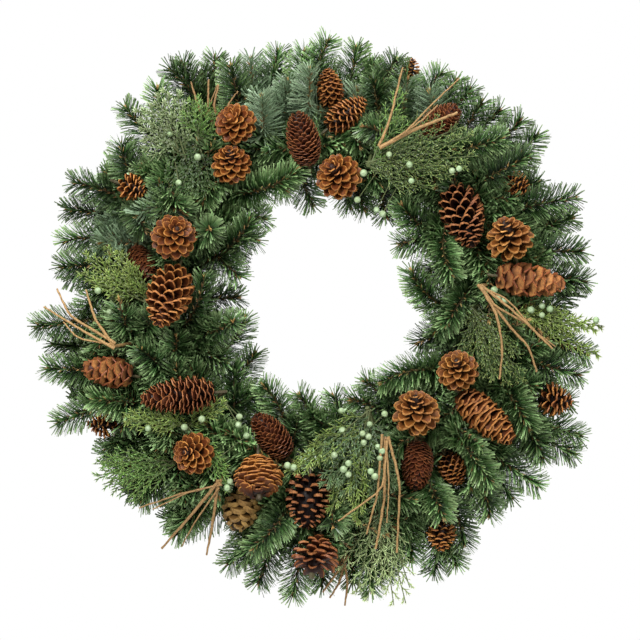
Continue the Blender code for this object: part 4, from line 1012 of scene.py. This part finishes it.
def tipPath(tip, centres, radii, lead=0.4):
    # the branch that a tip leaves, and its path inside no cone and in front of as little as can be
    x0, y0, x1, y1, d0, d1 = tip
    wanted = ringAngle(at((x0 - lead * (x1 - x0), y0 - lead * (y1 - y0), 0)))
    k = sectorOf(wanted)
    off = (wanted - sectorMiddle(k) + math.pi) % (2 * math.pi) - math.pi
    angle = sectorMiddle(k) + max(-rootReach, min(rootReach, off))
    root = onRing(branchStem["radius"], angle, branchStem["depth"])
    best = None
    for shift in depthShifts:
        if min(d0, d1) + shift < 8:
            continue
        path = bow(root, at((x0, y0, d0 + shift)), at((x1, y1, d1 + shift)), 25)
        hits = insideCones(path).sum() + 0.5 * hidesShown(path[3:], centres, radii).sum()
        if best is None or hits < best[0]:
            best = (hits, path)
        if hits == 0:
            break
    return k, best[1], best[0]


def growTip(pile, stems, path, perMillimetre, shade, centres, radii, bits, broad):
    total = pathLength(path)
    start = total * pineTips["bare"]
    count = round((total - start) / mm * perMillimetre)
    share = (np.arange(count) + draw.uniform(0, 1, count)) / count
    points, ways = alongPath(path, start + (total - start) * share)
    side = sideOf(ways[0])
    sides = unit(side - ways * (ways @ side)[:, None])
    ups = np.cross(ways, sides)
    angle = goldenTurn * np.arange(count) + draw.normal(0, 0.25, count)
    out = np.cos(angle)[:, None] * sides + np.sin(angle)[:, None] * ups
    out[:, 1] *= pineTips["flatten"]
    out = unit(out - ways * (out * ways).sum(1, keepdims=True))
    slant = np.radians(pineTips["slant"][0] + (pineTips["slant"][1] - pineTips["slant"][0]) * share ** 4)
    slant = slant + draw.normal(0, 0.09, count)
    heading = unit(np.cos(slant)[:, None] * ways + np.sin(slant)[:, None] * out)
    reach = draw.uniform(*pineTips["reach"], count) * (1 - pineTips["blunt"] * share ** 3)
    length = 27 * mm * reach
    clear = points[:, 1] + heading[:, 1] * length < -pineTips["back"]
    for part in (0.35, 0.7, 1.0):
        samples = points + heading * (length * part)[:, None]
        clear &= ~insideCones(samples)
        clear &= ~hidesShown(samples, centres, radii) | (draw.random(count) < 0.05)
    turned = np.radians(draw.uniform(-pineTips["turned"], pineTips["turned"], count))[:, None]
    turns = standing(heading, np.cos(turned) * np.cross(ways, out) + np.sin(turned) * out)
    turns[:, :, 2] *= reach[:, None]
    turns[:, :, :2] *= broad
    draws = np.stack([draw.random(count), np.full(count, shade)], 1)
    pileUp(pile, needle, turns[clear], points[clear], 0, draws[clear])
    stems.append((path[::3], np.linspace(*pineTips["stem"], len(path[::3]))))
    if bits:
        spots, spotWays = alongPath(path, np.arange(total * 0.35, total, pineTips["bits"]))
        turnAngle = np.where(np.arange(len(spots)) % 2, math.pi - 0.7, 0.7) + draw.normal(0, 0.3, len(spots))
        bitSide = sideOf(spotWays[0])
        bitUp = np.cross(spotWays, bitSide)
        bitOut = np.cos(turnAngle)[:, None] * bitSide + np.sin(turnAngle)[:, None] * bitUp
        bitWays = unit(spotWays + 0.9 * bitOut)
        pileUp(pile, budBit, standing(bitWays, bitUp), spots + bitOut * 1.3 * mm, 2)
        ends = unit(ways[-1] + 0.3 * draw.normal(0, 1, (4, 3)))
        pileUp(pile, budBit, standing(ends, np.cross(ends, bitOut[0])) * 1.15, np.repeat(path[-1:], 4, 0), 2)


def growBranches():
    # every tip gathered by branch, then one piece for each branch with its bound stem
    piles = [newPile() for _ in range(wireFrame["sectors"])]
    stems = [[] for _ in piles]
    centres, radii = np.concatenate(shown["centres"]), np.concatenate(shown["radii"])
    coneCentres, coneRadii = centres[:5 * len(cones)], radii[:5 * len(cones)]
    listed = rimTips + faceTips + holeTips + moreTips
    for number, tip in enumerate(listed + fillTips()):
        k, path, hits = tipPath(tip, coneCentres, coneRadii)
        isListed = number < len(listed)
        if hits > 3 and not isListed:
            continue
        close = np.linalg.norm(centres - path[len(path) // 2], axis=1) < 110 * mm
        per = pineTips["perMillimetre"] if isListed else pineTips["fillPerMillimetre"]
        shade = draw.uniform(0, 0.84)
        if near(tip, frostedPlaces):
            shade = 1.0
        broad = 1.0 if isListed else pineTips["broad"]
        bits = isListed or min(tip[4:]) > 50
        growTip(piles[k], stems[k], path, per, shade, centres[close], radii[close], bits, broad)
    for k, pile in enumerate(piles):
        rods(pile, stems[k], 4, 1)
        reach = math.radians(180 / wireFrame["sectors"] - 0.3)
        strands = []
        for strand in range(branchStem["strands"]):
            share = np.linspace(0, 1, branchStem["points"])
            angles = sectorMiddle(k) + reach * (2 * share - 1)
            twist = 2 * math.pi * (branchStem["turns"] * share + strand / branchStem["strands"])
            path = [onRing(branchStem["radius"] + branchStem["offset"] * math.cos(w), angle,
                           branchStem["depth"] + branchStem["offset"] * math.sin(w))
                    for angle, w in zip(angles, twist)]
            strands.append((path, [branchStem["strand"]] * len(path)))
        rods(pile, strands, 8, 3)
        node = f"pine_branch_{k + 1:02d}"
        makePiece(node + "_needles", pile, pineFinishes, "pine_needles", node)
    return sum(pile["count"] for pile in piles) // len(needle["co"])


print("Pine tips grown, about", growBranches(), "needles")


# Wire frame

def makeFrame():
    pieces = []
    for radius in (wireFrame["inner"], wireFrame["outer"]):
        freshStart()
        bpy.ops.mesh.primitive_torus_add(major_radius=radius, minor_radius=wireFrame["wire"], major_segments=120,
                                         minor_segments=12, rotation=(math.pi / 2, 0, 0),
                                         location=(0, -wireFrame["wire"], grid["height"]))
        pieces.append(bpy.context.object)
    for k in range(wireFrame["sectors"]):
        freshStart()
        angle = sectorMiddle(k)
        span = wireFrame["outer"] - wireFrame["inner"] + 2 * wireFrame["overrun"]
        middle = onRing((wireFrame["inner"] + wireFrame["outer"]) / 2, angle, wireFrame["tieDepth"])
        bpy.ops.mesh.primitive_cylinder_add(vertices=12, radius=wireFrame["tie"], depth=span, location=middle,
                                            rotation=(0, math.pi / 2 - angle, 0))
        tie = bpy.context.object
        bevel = tie.modifiers.new("Round ends", "BEVEL")
        bevel.width, bevel.segments = 0.7 * mm, 2
        bpy.ops.object.modifier_apply(modifier=bevel.name)
        pieces.append(tie)
    freshStart()
    for piece in pieces:
        piece.select_set(True)
    bpy.context.view_layer.objects.active = pieces[0]
    bpy.ops.object.join()
    ring = bpy.context.object
    bpy.ops.object.transform_apply(location=True, rotation=True, scale=True)
    ring.name = "wire_frame_painted"
    ring.data.materials.append(frameFinish)
    ring.data.shade_smooth()
    ring.data.set_sharp_from_angle(angle=math.radians(50))
    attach(ring, "root")
    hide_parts("wire_frame")


makeFrame()
print("Frame made")

# Floor, light and camera

studio = {"lens": 180, "sensor": 36, "view": 672 * mm, "focus": (-3.15 * mm, -60 * mm, -178.2 * mm),
          "floor": 0.45, "floorDrop": 0.62, "white": 1.0, "ambient": 0.42}


def addLight(name, place, size, power, colour=(1, 1, 1)):
    lamp = bpy.data.lights.new(name, "AREA")
    lamp.size, lamp.energy, lamp.color = size, power, colour
    light = bpy.data.objects.new(name, lamp)
    light.location = place
    light.rotation_euler = (Vector(studio["focus"]) - Vector(place)).to_track_quat("-Z", "Y").to_euler()
    bpy.context.scene.collection.objects.link(light)


def setStudio():
    freshStart()
    bpy.ops.mesh.primitive_cylinder_add(vertices=96, radius=studio["floor"], depth=0.02,
                                        location=(studio["focus"][0], 0, studio["focus"][2] - studio["floorDrop"]))
    floor = bpy.context.object
    floor.name = "studio_floor"
    bpy.ops.object.transform_apply(location=True, rotation=True, scale=True)
    paint = bpy.data.materials.new("palePaint")
    paint.use_nodes = True
    paint.node_tree.nodes["Principled BSDF"].inputs["Base Color"].default_value = (0.86, 0.86, 0.85, 1)
    paint.node_tree.nodes["Principled BSDF"].inputs["Roughness"].default_value = 0.8
    floor.data.materials.append(paint)
    camera = bpy.data.objects.new("camera", bpy.data.cameras.new("camera"))
    camera.data.lens, camera.data.sensor_width = studio["lens"], studio["sensor"]
    distance = studio["view"] * studio["lens"] / studio["sensor"]
    focus = studio["focus"]
    camera.location = (focus[0], focus[1] - distance, focus[2])
    camera.rotation_euler = (math.pi / 2, 0, 0)
    camera.data.clip_end = 20
    bpy.context.scene.collection.objects.link(camera)
    bpy.context.scene.camera = camera
    addLight("key", (-1.1, -2.2, 1.3), 0.8, 81)
    addLight("fill", (1.6, -2.4, 0.1), 1.6, 31)
    addLight("top", (0.2, -0.5, 1.9), 1.2, 24)
    addLight("back", (0.4, 2.2, 0.9), 1.6, 30)
    world = bpy.data.worlds.new("studio")
    bpy.context.scene.world = world
    world.use_nodes = True
    tree = world.node_tree
    lit = tree.nodes["Background"]
    lit.inputs["Color"].default_value = (1, 1, 1, 1)
    lit.inputs["Strength"].default_value = studio["ambient"]
    seen = addNode(tree, "ShaderNodeBackground", (), {"Color": (1, 1, 1, 1), "Strength": studio["white"]})
    toCamera = addNode(tree, "ShaderNodeLightPath").outputs["Is Camera Ray"]
    both = addNode(tree, "ShaderNodeMixShader", (), {0: toCamera, 1: lit.outputs[0], 2: seen.outputs[0]})
    tree.links.new(both.outputs[0], tree.nodes["World Output"].inputs["Surface"])
    bpy.context.scene.view_settings.view_transform = "Standard"


setStudio()
print("Studio set")
